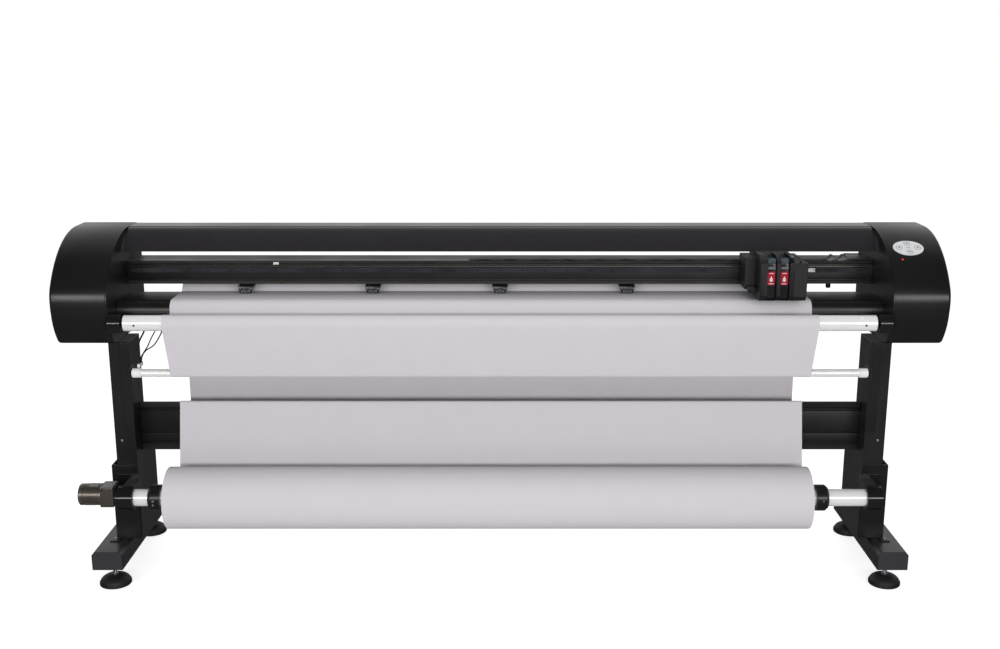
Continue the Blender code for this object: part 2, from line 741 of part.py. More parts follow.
def pinch_arm(number, x):
    """Arm that reaches from the lift shaft down to the wheel, forked round it and tapering downwards."""
    name = f"pinch_arm_{number}"
    boss = ARM_SHAFT_RADIUS * 2
    under = BEAM_Z - 0.0025
    outline = [
        (PINCH_Y - 0.0105, PINCH_Z + 0.004),
        (PINCH_Y - 0.0085, PINCH_Z - 0.004),
        (PINCH_Y + 0.0045, PINCH_Z - 0.0045),
        (ARM_SHAFT_Y + boss - 0.001, under - 0.006),
        (ARM_SHAFT_Y + boss, ARM_SHAFT_Z),
    ]
    outline += arc((ARM_SHAFT_Y, ARM_SHAFT_Z), boss, 30, 150, 4)
    outline += [(ARM_SHAFT_Y - boss, ARM_SHAFT_Z), (ARM_SHAFT_Y - boss, under)]
    outline.append((PINCH_Y - 0.0085, under - 0.001))
    bottom, top = PINCH_Z - 0.0045, under
    rings = []
    for way in (-1, 1):
        ring = []
        for y, z in outline:
            share = min(max((z - bottom) / (top - bottom), 0), 1)
            ring.append((x + way * (0.0165 + (ARM_WIDTH / 2 - 0.0165) * share), y, z))
        rings.append(ring)
    obj = loft(name, rings, black_plastic())
    half = PINCH_WIDTH / 2 + CLEAR
    fork = block(
        f"{name}_fork",
        (x - half, PINCH_Y - 0.02, PINCH_Z - 0.02),
        (x + half, PINCH_Y + PINCH_RADIUS + 0.001, PINCH_Z + PINCH_RADIUS + 0.001),
        black_plastic(),
    )
    bore = rod(
        f"{name}_bore", "X", (x, ARM_SHAFT_Y, ARM_SHAFT_Z), ARM_SHAFT_RADIUS + CLEAR,
        -ARM_WIDTH, ARM_WIDTH, black_plastic(), 16,
    )
    eye = rod(
        f"{name}_eye", "X", (x, PINCH_Y, PINCH_Z), PINCH_AXLE + CLEAR,
        -ARM_WIDTH, ARM_WIDTH, black_plastic(), 12,
    )
    cut(obj, fork, bore, eye)
    pivot(obj, (x, ARM_SHAFT_Y, ARM_SHAFT_Z))
    for helper in (fork, bore, eye):
        helper.parent = obj
        helper.matrix_parent_inverse = Matrix.Translation(-Vector(obj.location))


def pinch_wheel(number, x):
    """Rubber wheel on its axle, held in the arm's fork."""
    half = PINCH_WIDTH / 2
    reach = 0.0165
    profile = [(0, -reach), (PINCH_AXLE, -reach), (PINCH_AXLE, -half), (PINCH_RADIUS - 0.001, -half)]
    profile += [(PINCH_RADIUS, -half + 0.001), (PINCH_RADIUS, half - 0.001)]
    profile += [(PINCH_RADIUS - 0.001, half), (PINCH_AXLE, half), (PINCH_AXLE, reach), (0, reach)]
    centre = (x, PINCH_Y, PINCH_Z)
    obj = turned(f"pinch_wheel_{number}", "X", centre, profile, look("rubber", (0.05, 0.05, 0.055), 0.7))
    pivot(obj, centre)


# ---------------------------------------------------------------- carriage
def cartridge_places():
    return [CARRIAGE_X + CARTRIDGE_FIRST + CARTRIDGE_PITCH * i for i in range(2)]


def carriage():
    """Print carriage: two open bays in front, a channel over the rail behind, and an arm over to the belt."""
    low, high = HEAD_BASE + CARRIAGE_BOTTOM, HEAD_BASE + CARRIAGE_TOP
    back = BEAM_FRONT_Y - 0.0015
    bay_rear = CARTRIDGE_FRONT_Y + CARTRIDGE_DEPTH + BAY_REAR_GAP
    over_arms = BEAM_Z + ARM_ROOM
    rear_top = high - 0.012
    outline = [
        (CARRIAGE_FRONT_Y, low + 0.015),
        (CARRIAGE_FRONT_Y + 0.012, low),
        (bay_rear + SKIRT, low),
        (bay_rear + SKIRT, over_arms),
        (back, over_arms),
        (back, rear_top),
        (LID_FRONT_Y - 0.008, rear_top),
        (LID_FRONT_Y - 0.022, high),
        (CARRIAGE_FRONT_Y + 0.028, high),
        (CARRIAGE_FRONT_Y, high - 0.018),
    ]
    right = CARRIAGE_X + CARRIAGE_RIGHT
    obj = prism("carriage", outline, CARRIAGE_X - CARRIAGE_LEFT, right, black_plastic())
    wing = block(
        "carriage_wing",
        (CARRIAGE_X - CARRIAGE_WING, LID_FRONT_Y - 0.056, over_arms),
        (CARRIAGE_X - CARRIAGE_LEFT + 0.002, back - 0.001, rear_top - 0.004),
        black_plastic(),
    )
    arm_low = belt_top() + CLEAR
    arm_top = BEAM_Z + BEAM_HEIGHT + BEAM_CREST + ARM_OVER_BEAM + 0.005
    arm = prism(
        "carriage_arm",
        [
            (back - 0.010, arm_top),
            (back - 0.010, arm_top - 0.005),
            (BELT_Y, arm_top - 0.005),
            (BELT_Y, arm_low),
            (BELT_Y + BELT_WIDTH, arm_low),
            (BELT_Y + BELT_WIDTH, arm_top),
        ],
        CARRIAGE_X - 0.015,
        CARRIAGE_X + 0.015,
        black_paint(),
    )
    join(obj, wing, arm)
    for number, x in enumerate(cartridge_places(), 1):
        half = CARTRIDGE_WIDTH / 2 + BAY_SIDE_GAP
        bay = block(
            f"carriage_bay_{number}",
            (x - half, CARRIAGE_FRONT_Y - 0.01, low + BAY_FLOOR),
            (x + half, bay_rear, high + 0.01),
            black_plastic(),
        )
        cut(obj, bay)
    channel = block(
        "carriage_channel",
        (CARRIAGE_X - CARRIAGE_WING - 0.01, BEAM_FRONT_Y - RAIL_THICK - 2 * CLEAR, RAIL_Z - 0.001),
        (right + 0.01, BEAM_FRONT_Y + 0.001, RAIL_Z + RAIL_HEIGHT + 0.001),
        black_plastic(),
    )
    cut(obj, channel)


def cartridge(number, x):
    """Ink cartridge that lifts out of its bay, with a bevelled top and a finger tab."""
    front, rear = CARTRIDGE_FRONT_Y, CARTRIDGE_FRONT_Y + CARTRIDGE_DEPTH
    low = HEAD_BASE + CARRIAGE_BOTTOM + BAY_FLOOR + CLEAR
    high = low + CARTRIDGE_HEIGHT
    outline = [
        (front, low + 0.004),
        (front + 0.004, low),
        (rear, low),
        (rear, high - 0.020),
        (rear - 0.013, high),
        (front + 0.004, high),
        (front + 0.004, high - 0.009),
        (front, high - 0.012),
    ]
    half = CARTRIDGE_WIDTH / 2
    prism(
        f"cartridge_{number}", outline, x - half, x + half, look("cartridge", (0.03, 0.03, 0.032), 0.4)
    )


def belt_top():
    return PULLEY_Z + PULLEY_RADIUS + CLEAR + BELT_THICK


def pulley(name, x):
    """Belt pulley on a pin, with a bore at its middle."""
    bore = PIN_RADIUS + CLEAR
    far = BELT_WIDTH
    profile = [(bore, 0), (PULLEY_RADIUS, 0), (PULLEY_RADIUS, far), (bore, far)]
    centre = (x, BELT_Y, PULLEY_Z)
    obj = turned(name, "Y", centre, profile, bare_metal())
    pivot(obj, centre)


def carriage_belt():
    """Toothed belt round both pulleys, one long loop behind the beam."""
    span = PLATE_X - PULLEY_INSET
    rings = []
    for radius in (PULLEY_RADIUS + CLEAR, PULLEY_RADIUS + CLEAR + BELT_THICK):
        rings.append(arc((span, PULLEY_Z), radius, -90, 90, 8) + arc((-span, PULLEY_Z), radius, 90, 270, 8))
    inner, outer = rings
    near, far = BELT_Y + 0.0002, BELT_Y + BELT_WIDTH - 0.0002
    loops = [
        [(x, near, z) for x, z in inner],
        [(x, near, z) for x, z in outer],
        [(x, far, z) for x, z in outer],
        [(x, far, z) for x, z in inner],
    ]
    loft("carriage_belt", loops, look("belt", (0.03, 0.03, 0.03), 0.8), closed=True)


def carriage_motor():
    """Motor behind the beam's right end, on the side plate, with its shaft in the drive pulley."""
    x = PLATE_X - PULLEY_INSET
    near = BELT_Y + BELT_WIDTH + 0.004
    half = MOTOR_SIDE / 2
    obj = block(
        "carriage_motor",
        (x - half, near, PULLEY_Z - half),
        (PLATE_X - CLEAR, near + MOTOR_LENGTH, PULLEY_Z + half),
        look("motor", (0.08, 0.08, 0.085), 0.4, 0.6),
    )
    shaft = rod(
        "carriage_motor_shaft", "Y", (x, 0, PULLEY_Z), PIN_RADIUS, BELT_Y, near + 0.01, bare_metal(), 16
    )
    join(obj, shaft)


def ribbon_cable():
    """Flat cable lying in shallow waves along the beam's top, from the middle to the right side plate."""
    base = BEAM_Z + BEAM_HEIGHT + 0.0006 + RIBBON_THICK / 2
    start, end = -0.090, PLATE_X - 0.003
    count = 60
    path = []
    for i in range(count + 1):
        x = start + (end - start) * i / count
        wave = 0.5 - 0.5 * math.cos(2 * math.pi * i * 7 / count)
        path.append((x, base + RIBBON_WAVE * wave))
    y = BEAM_FRONT_Y + 0.008
    prism(
        "ribbon_cable", ribbon(path, RIBBON_THICK), y, y + RIBBON_WIDTH,
        look("ribbon", (0.05, 0.05, 0.05), 0.6), axis="Y",
    )


# ---------------------------------------------------------------- tubes and rolls
def hollow_tube(radius, wall, low, high, stub, stub_end, bore):
    """Profile of a tube with plugged ends and a small bore, and stubs past its ends if stub is over 0."""
    plug = 0.030
    inner = radius - wall
    outside = [(radius, low), (radius, high)]
    if stub:
        outside = [(stub, low - stub_end), (stub, low)] + outside + [(stub, high), (stub, high + stub_end)]
    ends = (outside[0][1], outside[-1][1])
    inside = [(bore, ends[1]), (bore, high - plug), (inner, high - plug), (inner, low + plug)]
    return outside + inside + [(bore, low + plug), (bore, ends[0])]


def upper_tube():
    """Guide tube in front of the platen, free to turn on its end spindles."""
    end = PLATE_X - UPPER_HUB - UPPER_END_GAP
    profile = hollow_tube(UPPER_TUBE_RADIUS, TUBE_WALL, -end, end, 0, 0, SPINDLE_RADIUS + SPINDLE_GAP)
    centre = (0, UPPER_TUBE_Y, UPPER_TUBE_Z)
    obj = turned("upper_tube", "X", centre, profile, bare_metal(), 32)
    pivot(obj, centre)


def upper_bracket(side, way):
    """Hub and spindle for the guide tube, on an arm against the side plate."""
    name = f"upper_bracket_{side}"
    outer = PLATE_X - CLEAR
    inner = PLATE_X - UPPER_HUB
    tip = inner - UPPER_END_GAP - SPINDLE_LENGTH
    profile = [(0, inner - UPPER_END_GAP - SPINDLE_LENGTH), (SPINDLE_RADIUS, tip), (SPINDLE_RADIUS, inner)]
    profile += [(UPPER_HUB_RADIUS, inner), (UPPER_HUB_RADIUS, outer), (0, outer)]
    profile = [(radius, way * along) for radius, along in profile]
    obj = turned(name, "X", (0, UPPER_TUBE_Y, UPPER_TUBE_Z), profile, black_plastic())
    arm = prism(
        f"{name}_arm",
        [
            (UPPER_TUBE_Y - 0.010, UPPER_TUBE_Z - 0.022),
            (UPPER_TUBE_Y + 0.030, UPPER_TUBE_Z - 0.034),
            (UPPER_TUBE_Y + 0.062, UPPER_TUBE_Z - 0.034),
            (UPPER_TUBE_Y + 0.062, UPPER_TUBE_Z - 0.006),
            (UPPER_TUBE_Y + 0.010, UPPER_TUBE_Z + 0.010),
        ],
        way * (outer - 0.012),
        way * outer,
        black_plastic(),
    )
    join(obj, arm)


def tension_bar():
    """Thin bar with thicker end caps, turning on pins in the legs' arms."""
    end = LEG_X - BAR_END_GAP
    cap_in = end - BAR_CAP_LENGTH
    bore = BAR_PIN_RADIUS + CLEAR
    inner = BAR_RADIUS - TUBE_WALL
    depth = BAR_PIN_LENGTH + 0.004
    profile = [(BAR_CAP_RADIUS, -end), (BAR_CAP_RADIUS, -cap_in), (BAR_RADIUS, -cap_in)]
    profile += [(BAR_RADIUS, cap_in), (BAR_CAP_RADIUS, cap_in), (BAR_CAP_RADIUS, end)]
    profile += [(bore, end), (bore, end - depth), (inner, end - depth), (inner, -end + depth)]
    profile += [(bore, -end + depth), (bore, -end)]
    centre = (0, BAR_Y, BAR_HEIGHT)
    obj = turned("tension_bar", "X", centre, profile, bare_metal())
    pivot(obj, centre)


def lower_ends():
    """X of the take-up tube's ends, just inside the two hubs."""
    end = PLATE_X - LOWER_HUB - 2 * CLEAR
    return -end, end


def lower_tube():
    """Take-up tube with a stub at each end that turns in the hubs."""
    low, high = lower_ends()
    profile = hollow_tube(
        LOWER_TUBE_RADIUS, TUBE_WALL, low + CLEAR, high - CLEAR, SPINDLE_RADIUS, LOWER_HUB + CLEAR, 0.003
    )
    centre = (0, ROLL_Y, ROLL_HEIGHT)
    obj = turned("lower_tube", "X", centre, profile, bare_metal(), 32)
    pivot(obj, centre)


def paper_roll():
    """Wound media on the take-up tube."""
    inner = LOWER_TUBE_RADIUS + CLEAR
    profile = [(inner, ROLL_LEFT), (ROLL_RADIUS, ROLL_LEFT), (ROLL_RADIUS, ROLL_RIGHT), (inner, ROLL_RIGHT)]
    centre = (0, ROLL_Y, ROLL_HEIGHT)
    obj = turned("paper_roll", "X", centre, profile, white_paper(), 48)
    pivot(obj, centre)


def roll_collar(side, way):
    """Clamp ring on the take-up tube beside the roll."""
    edge = ROLL_LEFT if way < 0 else ROLL_RIGHT
    low, high = sorted((edge + way * COLLAR_GAP, edge + way * (COLLAR_GAP + COLLAR_LENGTH)))
    inner = LOWER_TUBE_RADIUS + CLEAR
    profile = [(inner, low), (COLLAR_RADIUS, low), (COLLAR_RADIUS, high), (inner, high)]
    centre = (0, ROLL_Y, ROLL_HEIGHT)
    obj = turned(f"roll_collar_{side}", "X", centre, profile, black_plastic())
    pivot(obj, centre)


def lower_bracket(side, way):
    """Hub for the take-up tube, on a plate against the leg's front."""
    name = f"lower_bracket_{side}"
    inner = lower_ends()[1] + 0.001
    outer = inner + LOWER_HUB - 0.001
    bore = SPINDLE_RADIUS + SPINDLE_GAP
    profile = [(bore, inner), (LOWER_HUB_RADIUS, inner), (LOWER_HUB_RADIUS, outer), (bore, outer)]
    profile = [(radius, way * along) for radius, along in profile]
    obj = turned(name, "X", (0, ROLL_Y, ROLL_HEIGHT), profile, black_plastic())
    rear = LEG_FRONT_Y - CLEAR
    arm = block(
        f"{name}_arm",
        (min(way * (inner + 0.004), way * (outer - 0.002)), ROLL_Y + bore + 0.012, ROLL_HEIGHT - 0.026),
        (max(way * (inner + 0.004), way * (outer - 0.002)), rear, ROLL_HEIGHT + 0.026),
        black_paint(),
    )
    plate = block(
        f"{name}_plate",
        (min(way * (inner + 0.004), way * (LEG_X + LEG_WIDTH)), rear - 0.006, ROLL_HEIGHT - 0.040),
        (max(way * (inner + 0.004), way * (LEG_X + LEG_WIDTH)), rear, ROLL_HEIGHT + 0.040),
        black_paint(),
    )
    join(obj, arm, plate)


def takeup_motor():
    """Round motor on a square gearbox, outside the left hub, in line with the take-up tube."""
    near = -(lower_ends()[1] + LOWER_HUB + 2 * CLEAR)
    half = GEARBOX_SIDE / 2
    height = ROLL_HEIGHT + TAKEUP_RISE
    obj = block(
        "takeup_motor",
        (near - GEARBOX_LENGTH, ROLL_Y - half, height - half),
        (near, ROLL_Y + half, height + half),
        look("motor", (0.08, 0.08, 0.085), 0.4, 0.6),
    )
    can = rod(
        "takeup_motor_can", "X", (0, ROLL_Y, height), TAKEUP_RADIUS,
        near - GEARBOX_LENGTH - TAKEUP_LENGTH, near - GEARBOX_LENGTH + 0.004, bare_metal(),
    )
    join(obj, can)


# ---------------------------------------------------------------- paper web
def sheet(name, path, left, right):
    prism(name, ribbon(path, PAPER), left, right, white_paper(), smooth=True)


def paper_front():
    """Web over the platen and apron, in a slack dip, over the guide tube and round the tension bar."""
    lift = CLEAR + PAPER / 2
    path = [(PLATEN_REAR_Y + 0.002, SHEET_Z), (PLATEN_FRONT_Y + 0.004, SHEET_Z)]
    path += arc((PLATEN_FRONT_Y, PLATEN_Z - APRON_RADIUS), APRON_RADIUS + 2 * CLEAR + PAPER / 2, 95, 170, 6)
    over_tube = arc((UPPER_TUBE_Y, UPPER_TUBE_Z), UPPER_TUBE_RADIUS + lift, 35, 200, 12)
    last = path[-1]
    dip = [
        last,
        (last[0] - 0.003, last[1] - 0.012),
        ((last[0] + over_tube[0][0]) / 2 + 0.003, over_tube[0][1] - 0.020),
        over_tube[0],
    ]
    path += smooth_path(dip, 4)[1:-1] + over_tube
    path += arc((BAR_Y, BAR_HEIGHT), BAR_RADIUS + lift, 200, 335, 8)
    sheet("paper_front", path, SHEET_LEFT, SHEET_RIGHT)


def paper_rear():
    """Web from the roll's rear over the cross beam, down in a slack loop behind it and up to the platen."""
    lift = CLEAR + PAPER / 2
    start = arc((ROLL_Y, ROLL_HEIGHT), ROLL_RADIUS + lift, -40, -11, 6)
    front, rear = CROSS_FRONT_Y, CROSS_FRONT_Y + CROSS_DEPTH
    path = start + arc((front + CROSS_LIP, CROSS_TOP - CROSS_LIP), CROSS_LIP * 1.5 + lift, 168, 95, 5)
    behind = PLATEN_REAR_Y + 0.0255
    loop_z = CROSS_TOP - 0.075
    middle = (rear + 0.014 + behind) / 2
    half = (behind - rear - 0.014) / 2
    path += arc((rear - 0.006, CROSS_TOP - CROSS_FALL - 0.0155), 0.020 + lift, 75, 5, 6)
    path += arc((middle, loop_z), half, 180, 360, 8)
    path += [(behind, PLATEN_Z - 0.010)]
    hump = [
        (behind, PLATEN_Z - 0.006),
        (behind + 0.0005, PLATEN_Z + 0.011),
        (behind - 0.006, PLATEN_Z + 0.0190),
        (PLATEN_REAR_Y + 0.010, PLATEN_Z + 0.0125),
        (PLATEN_REAR_Y + 0.0025, SHEET_Z + 0.0004),
    ]
    path += smooth_path(hump, 4)
    sheet("paper_rear", path, SHEET_LEFT, SHEET_RIGHT)


# ---------------------------------------------------------------- keypad and electrics
def keypad_frame():
    """Matrix at the keypad's centre on the crown: X along the bed, Y up the crown, Z straight out."""
    out = Vector((0, -math.sin(KEYPAD_ANGLE), math.cos(KEYPAD_ANGLE)))
    across = Vector((1, 0, 0))
    up = out.cross(across)
    centre = Vector((PLATE_X + KEYPAD_INSET, CROWN_Y, CROWN_Z)) + out * CROWN_RADIUS
    axes = Matrix((across, up, out)).transposed().to_4x4()
    return Matrix.Translation(centre) @ axes


def oval(name, width, depth, low, high, material, sides=32, centre=(0, 0)):
    """Elliptical block in the keypad's own axes."""
    rings = []
    for z in (low, high):
        angles = [2 * math.pi * i / sides for i in range(sides)]
        rings.append(
            [(centre[0] + width / 2 * math.cos(a), centre[1] + depth / 2 * math.sin(a), z) for a in angles]
        )
    obj = loft(name, rings, material, smooth=True)
    obj.data.transform(keypad_frame())
    return obj


def keypad(shell):
    """Oval panel let into the right housing, with four round keys that press in."""
    white = look("keypad white", (0.75, 0.75, 0.76), 0.35)
    low, high = -KEYPAD_THICK + 0.001, 0.001
    panel = oval("keypad_panel", KEYPAD_WIDTH, KEYPAD_DEPTH, low, high, white)
    gap = 2 * CLEAR
    opening = oval(
        "keypad_opening", KEYPAD_WIDTH + gap, KEYPAD_DEPTH + gap, -0.012, 0.010, black_plastic()
    )
    cut(shell, opening)
    places = {
        "up": (0, KEY_SPREAD * 0.70),
        "down": (0, -KEY_SPREAD * 0.70),
        "left": (-KEY_SPREAD, 0),
        "right": (KEY_SPREAD, 0),
    }
    for word, centre in places.items():
        hole = 2 * (KEY_RADIUS + KEY_GAP)
        cut(panel, oval(f"key_{word}_hole", hole, hole, low - 0.01, high + 0.01, white, 16, centre))
        size = 2 * KEY_RADIUS
        key = oval(f"key_{word}", size, size, low + 0.0004, high + KEY_RISE, white, 16, centre)
        pivot(key, keypad_frame() @ Vector((*centre, high)))


def control_box():
    """Open-topped case for the power supply and the drive electronics, in the right housing."""
    low = Vector((HOUSING_X + BOX_MARGIN, PINCH_Y - 0.05, HEAD_BASE + HOUSING_WALL + CLEAR))
    outer = HOUSING_X + HOUSING_WIDTH - HOUSING_ROUND - BOX_MARGIN
    high = Vector((outer, HEAD_REAR_Y - 0.045, HEAD_BASE + 0.140))
    wall = Vector((BOX_WALL, BOX_WALL, BOX_WALL))
    obj = block("control_box", low, high, look("control box", (0.4, 0.4, 0.41), 0.4, 0.8))
    lift = Vector((0, 0, 2 * BOX_WALL))
    inside = block("control_box_hollow", low + wall, high - wall + lift, black_paint())
    cut(obj, inside)


def power_inlet(shell):
    """Appliance inlet in the right housing's rear wall."""
    x = HOUSING_X + HOUSING_WIDTH / 2
    z = HEAD_BASE + 0.060
    low, high = (x - INLET_WIDTH / 2, z - INLET_HEIGHT / 2), (x + INLET_WIDTH / 2, z + INLET_HEIGHT / 2)
    obj = block(
        "power_inlet",
        (low[0], HEAD_REAR_Y - INLET_DEPTH, low[1]),
        (high[0], HEAD_REAR_Y + 0.002, high[1]),
        black_plastic(),
    )
    socket = block(
        "power_inlet_socket",
        (x - 0.012, HEAD_REAR_Y - 0.016, z - 0.008),
        (x + 0.012, HEAD_REAR_Y + 0.010, z + 0.008),
        black_plastic(),
    )
    cut(obj, socket)
    opening = block(
        "power_inlet_opening",
        (low[0] - CLEAR, HEAD_REAR_Y - 0.012, low[1] - CLEAR),
        (high[0] + CLEAR, HEAD_REAR_Y + 0.010, high[1] + CLEAR),
        black_plastic(),
    )
    cut(shell, opening)


def sensor_lead():
    """Thin lead clipped from under the platen's left end to the leg."""
    x = -LEG_X
    points = [
        (x + 0.070, PLATEN_FRONT_Y - 0.020, PLATEN_Z - APRON_DROP - 0.004),
        (x + 0.066, PLATEN_FRONT_Y - 0.022, HEAD_BASE + 0.020),
        (x + 0.048, LEG_FRONT_Y + 0.028, HEAD_BASE - 0.010),
        (x + 0.020, LEG_FRONT_Y + 0.036, HEAD_BASE - 0.030),
        (x + 0.007, LEG_FRONT_Y + 0.042, HEAD_BASE - 0.050),
        (x + LEAD_RADIUS + 0.0008, LEG_FRONT_Y + 0.044, HEAD_BASE - 0.075),
    ]
    curve = bpy.data.curves.new("sensor_lead", "CURVE")
    curve.dimensions = "3D"
    curve.bevel_depth = LEAD_RADIUS
    curve.bevel_resolution = 2
    curve.use_fill_caps = True
    spline = curve.splines.new("POLY")
    route = smooth_path(points, 4)
    spline.points.add(len(route) - 1)
    for point, place in zip(spline.points, route):
        point.co = (*place, 1)
    curve.materials.append(black_plastic())
    obj = bpy.data.objects.new("sensor_lead", curve)
    bpy.context.scene.collection.objects.link(obj)


# ---------------------------------------------------------------- the whole machine
def build():
    for obj in list(bpy.data.objects):
        bpy.data.objects.remove(obj, do_unlink=True)
    shells = {}
    for side, way in SIDES:
        foot_beam(side, way)
        for end, y in stem_places():
            levelling_foot(side, way, end, y)
        leg(side, way)
        side_plate(side, way)
        shells[side] = housing(side, way)
        upper_bracket(side, way)
        roll_collar(side, way)
        lower_bracket(side, way)
    cross_beam()
    main_beam()
    guide_rail()
    platen()
    top_strip()
    front_cover()
    feed_roller()
    feed_motor()
    lift_shaft()
    for number, x in enumerate(pinch_places(), 1):
        pinch_arm(number, x)
        pinch_wheel(number, x)
    carriage()
    for number, x in enumerate(cartridge_places(), 1):
        cartridge(number, x)
    pulley("drive_pulley", PLATE_X - PULLEY_INSET)
    pulley("idler_pulley", -PLATE_X + PULLEY_INSET)
    carriage_belt()
    carriage_motor()
    ribbon_cable()
    upper_tube()
    tension_bar()
    lower_tube()
    paper_roll()
    takeup_motor()
    paper_front()
    paper_rear()
    keypad(shells["right"])
    power_inlet(shells["right"])
    control_box()
    sensor_lead()


build()
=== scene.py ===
"""Looks of a wide-format printer cutter: finishes, paper web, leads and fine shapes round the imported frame.

Metres. X runs along the bed, -Y is the operator's side, +Z is up, and the floor is Z = 0.
"""

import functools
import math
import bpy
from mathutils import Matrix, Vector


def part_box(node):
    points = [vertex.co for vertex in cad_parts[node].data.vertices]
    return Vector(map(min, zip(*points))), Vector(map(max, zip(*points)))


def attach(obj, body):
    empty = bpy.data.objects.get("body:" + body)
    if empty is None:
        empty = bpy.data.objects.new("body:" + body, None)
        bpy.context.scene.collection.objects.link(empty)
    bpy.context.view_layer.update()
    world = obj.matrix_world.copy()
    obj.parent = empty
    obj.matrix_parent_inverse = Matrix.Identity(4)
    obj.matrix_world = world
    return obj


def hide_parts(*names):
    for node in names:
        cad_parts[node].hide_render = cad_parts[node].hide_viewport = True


bl_info = {
    "name": "Printer cutter",
    "version": (1, 0, 0),
    "blender": (4, 5, 0),
    "location": "3D View > Sidebar > Printer cutter",
    "description": "Builds the finishes and the fine shapes of a wide-format printer cutter",
    "category": "Object",
}

import bmesh
import bpy
from bpy.props import FloatProperty, FloatVectorProperty, IntProperty, PointerProperty
from mathutils import Matrix, Vector

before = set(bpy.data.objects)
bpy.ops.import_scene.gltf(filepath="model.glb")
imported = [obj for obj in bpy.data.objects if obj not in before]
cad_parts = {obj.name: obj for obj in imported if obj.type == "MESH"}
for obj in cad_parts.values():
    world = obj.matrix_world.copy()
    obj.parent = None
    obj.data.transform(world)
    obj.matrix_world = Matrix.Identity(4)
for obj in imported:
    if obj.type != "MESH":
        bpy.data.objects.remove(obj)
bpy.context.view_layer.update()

SIDES = (("left", -1), ("right", 1))
ENDS = ("front", "rear")
CLEAR = 0.0003  # gap between two pieces that touch
MM = 0.001
PINCH_COUNT = 5
KEYPAD_ANGLE = math.radians(31.4)  # round the crown, from straight up
KEYPAD_WIDTH = 0.085
KEYPAD_DEPTH = 0.059
KEY_SPREAD = 0.0255
LAMP_ANGLE = math.radians(40.5)
LAMP_X = 1.1125
KNOB_X = 0.952
MARKER_LEFT_X = -0.645
MARKER_RIGHT_X = 0.896
LEG_FRONT_Y = -93.5 * MM
LEG_WIDTH = 58.5 * MM
APRON_Y = -55.5 * MM  # where the platen starts to bend down
APRON_RADIUS = 27 * MM
BAR_RADIUS = 11 * MM
TUBE_GRIP = 24.3 * MM  # bore of what sits on the take-up tube
LOOPS_FROM_END = (0.080, 0.113)  # the flat cable's two raised loops, past the carriage arm's last place
LOOP_WIDTH = 0.007
LOOP_RISE = 11 * MM


# ================================================================ settings
def linear(code):
    """A #RRGGBB colour as the linear red, green and blue that Blender works in."""
    parts = [int(code[i : i + 2], 16) / 255 for i in (1, 3, 5)]
    return [p / 12.92 if p <= 0.04045 else ((p + 0.055) / 1.055) ** 2.4 for p in parts]


def colour(name, code, description):
    """A colour setting."""
    return FloatVectorProperty(name=name, description=description, subtype="COLOR", size=3, min=0, max=1,
                               default=linear(code))


def size(name, default, description):
    """A length setting, in metres."""
    return FloatProperty(name=name, description=description, default=default, min=0, unit="LENGTH",
                         precision=4)


class StageSettings(bpy.types.PropertyGroup):
    distance: size("Camera distance", 3.3935, "Along the floor from the camera to the machine's middle")
    height: size("Camera height", 1.541, "Camera over the floor")
    pitch: FloatProperty(name="Camera pitch", description="Camera looks down by this", subtype="ANGLE",
                         default=math.radians(13.4))
    lens: FloatProperty(name="Lens", description="Focal length", default=43.6, unit="CAMERA")
    front_light: FloatProperty(name="Front light", description="Lamp by the camera", default=158,
                               unit="POWER")
    top_light: FloatProperty(name="Top light", description="Lamp over the machine", default=22,
                             unit="POWER")
    fill: FloatProperty(name="Fill", description="Even light of the room", default=0.38, min=0)


class ColourSettings(bpy.types.PropertyGroup):
    moulding: colour("Moulding", "#161517", "Moulded end housings")
    coating: colour("Coating", "#151416", "Powder coat of the stand")
    # lid and strip are the stand's black coat; this lighter tone is a painted highlight for their sheen
    lid: colour("Lid", "#29272A", "Enamel of the lid and of the strip behind it")
    carriage: colour("Carriage", "#0B0B0C", "Nylon of the carriage")
    cap: colour("End plates", "#353338", "Polypropylene plates on the foot beams")
    anodised: colour("Black anodising", "#181716", "Dye of the beams and platen")
    paper: colour("Paper", "#D2CED3", "Plotting paper")
    tube: colour("Tube", "#FAFAFA", "Silver anodised guide tubes")
    label: colour("Cartridge label", "#B5122B", "Printed film on the cartridges")
    motor: colour("Motor", "#6A635C", "Grey metallic lacquer of the motors")


class HeadSettings(bpy.types.PropertyGroup):
    crown_radius: size("Crown radius", 0.278, "Large curve of the end housings")
    crown_y: size("Crown centre", 0.0835, "Centre of that curve behind the middle plane")
    rear_corner: size("Rear corner", 0.042, "Radius of the top rear corner")
    nose_height: size("Nose height", 0.132, "Foremost point over the housings' underside")
    edge_round: size("Edge round", 0.008, "Radius round each outer end face")
    wall: size("Wall", 0.003, "Wall of the mouldings")
    lid_drop: size("Lid drop", 0.061, "Height from the lid's rear edge to its front edge")
    lid_thick: size("Lid thickness", 0.0025, "Sheet of the lid")


class WebSettings(bpy.types.PropertyGroup):
    paper: size("Paper", 0.0005, "Thickness of the web")
    ripple: size("Ripple", 0.0014, "Height of the web's soft waves where nothing holds it")
    columns: IntProperty(name="Columns", description="Faces across the web", default=240, min=12)
    layers: IntProperty(name="Layers", description="Steps on the wound roll's ends", default=44, min=8)


class StandSettings(bpy.types.PropertyGroup):
    chamfer: size("Chamfer", 0.010, "Flat on the foot beams' top edges")
    edge: size("Pressed edge", 0.0012, "Rounding on the pressed steel's edges")
    foot_ribs: IntProperty(name="Foot ribs", description="Grip ribs round each foot", default=36, min=6)
    thread_pitch: size("Thread pitch", 0.0015, "Screw thread of the levelling stems")


class DriveSettings(bpy.types.PropertyGroup):
    belt_pitch: size("Belt pitch", 0.005, "Distance between the teeth of the carriage belt")
    cable_waves: IntProperty(name="Cable waves", description="Waves of the flat cable", default=7, min=1)
    cable_rise: size("Cable rise", 0.0030, "Height of those waves")


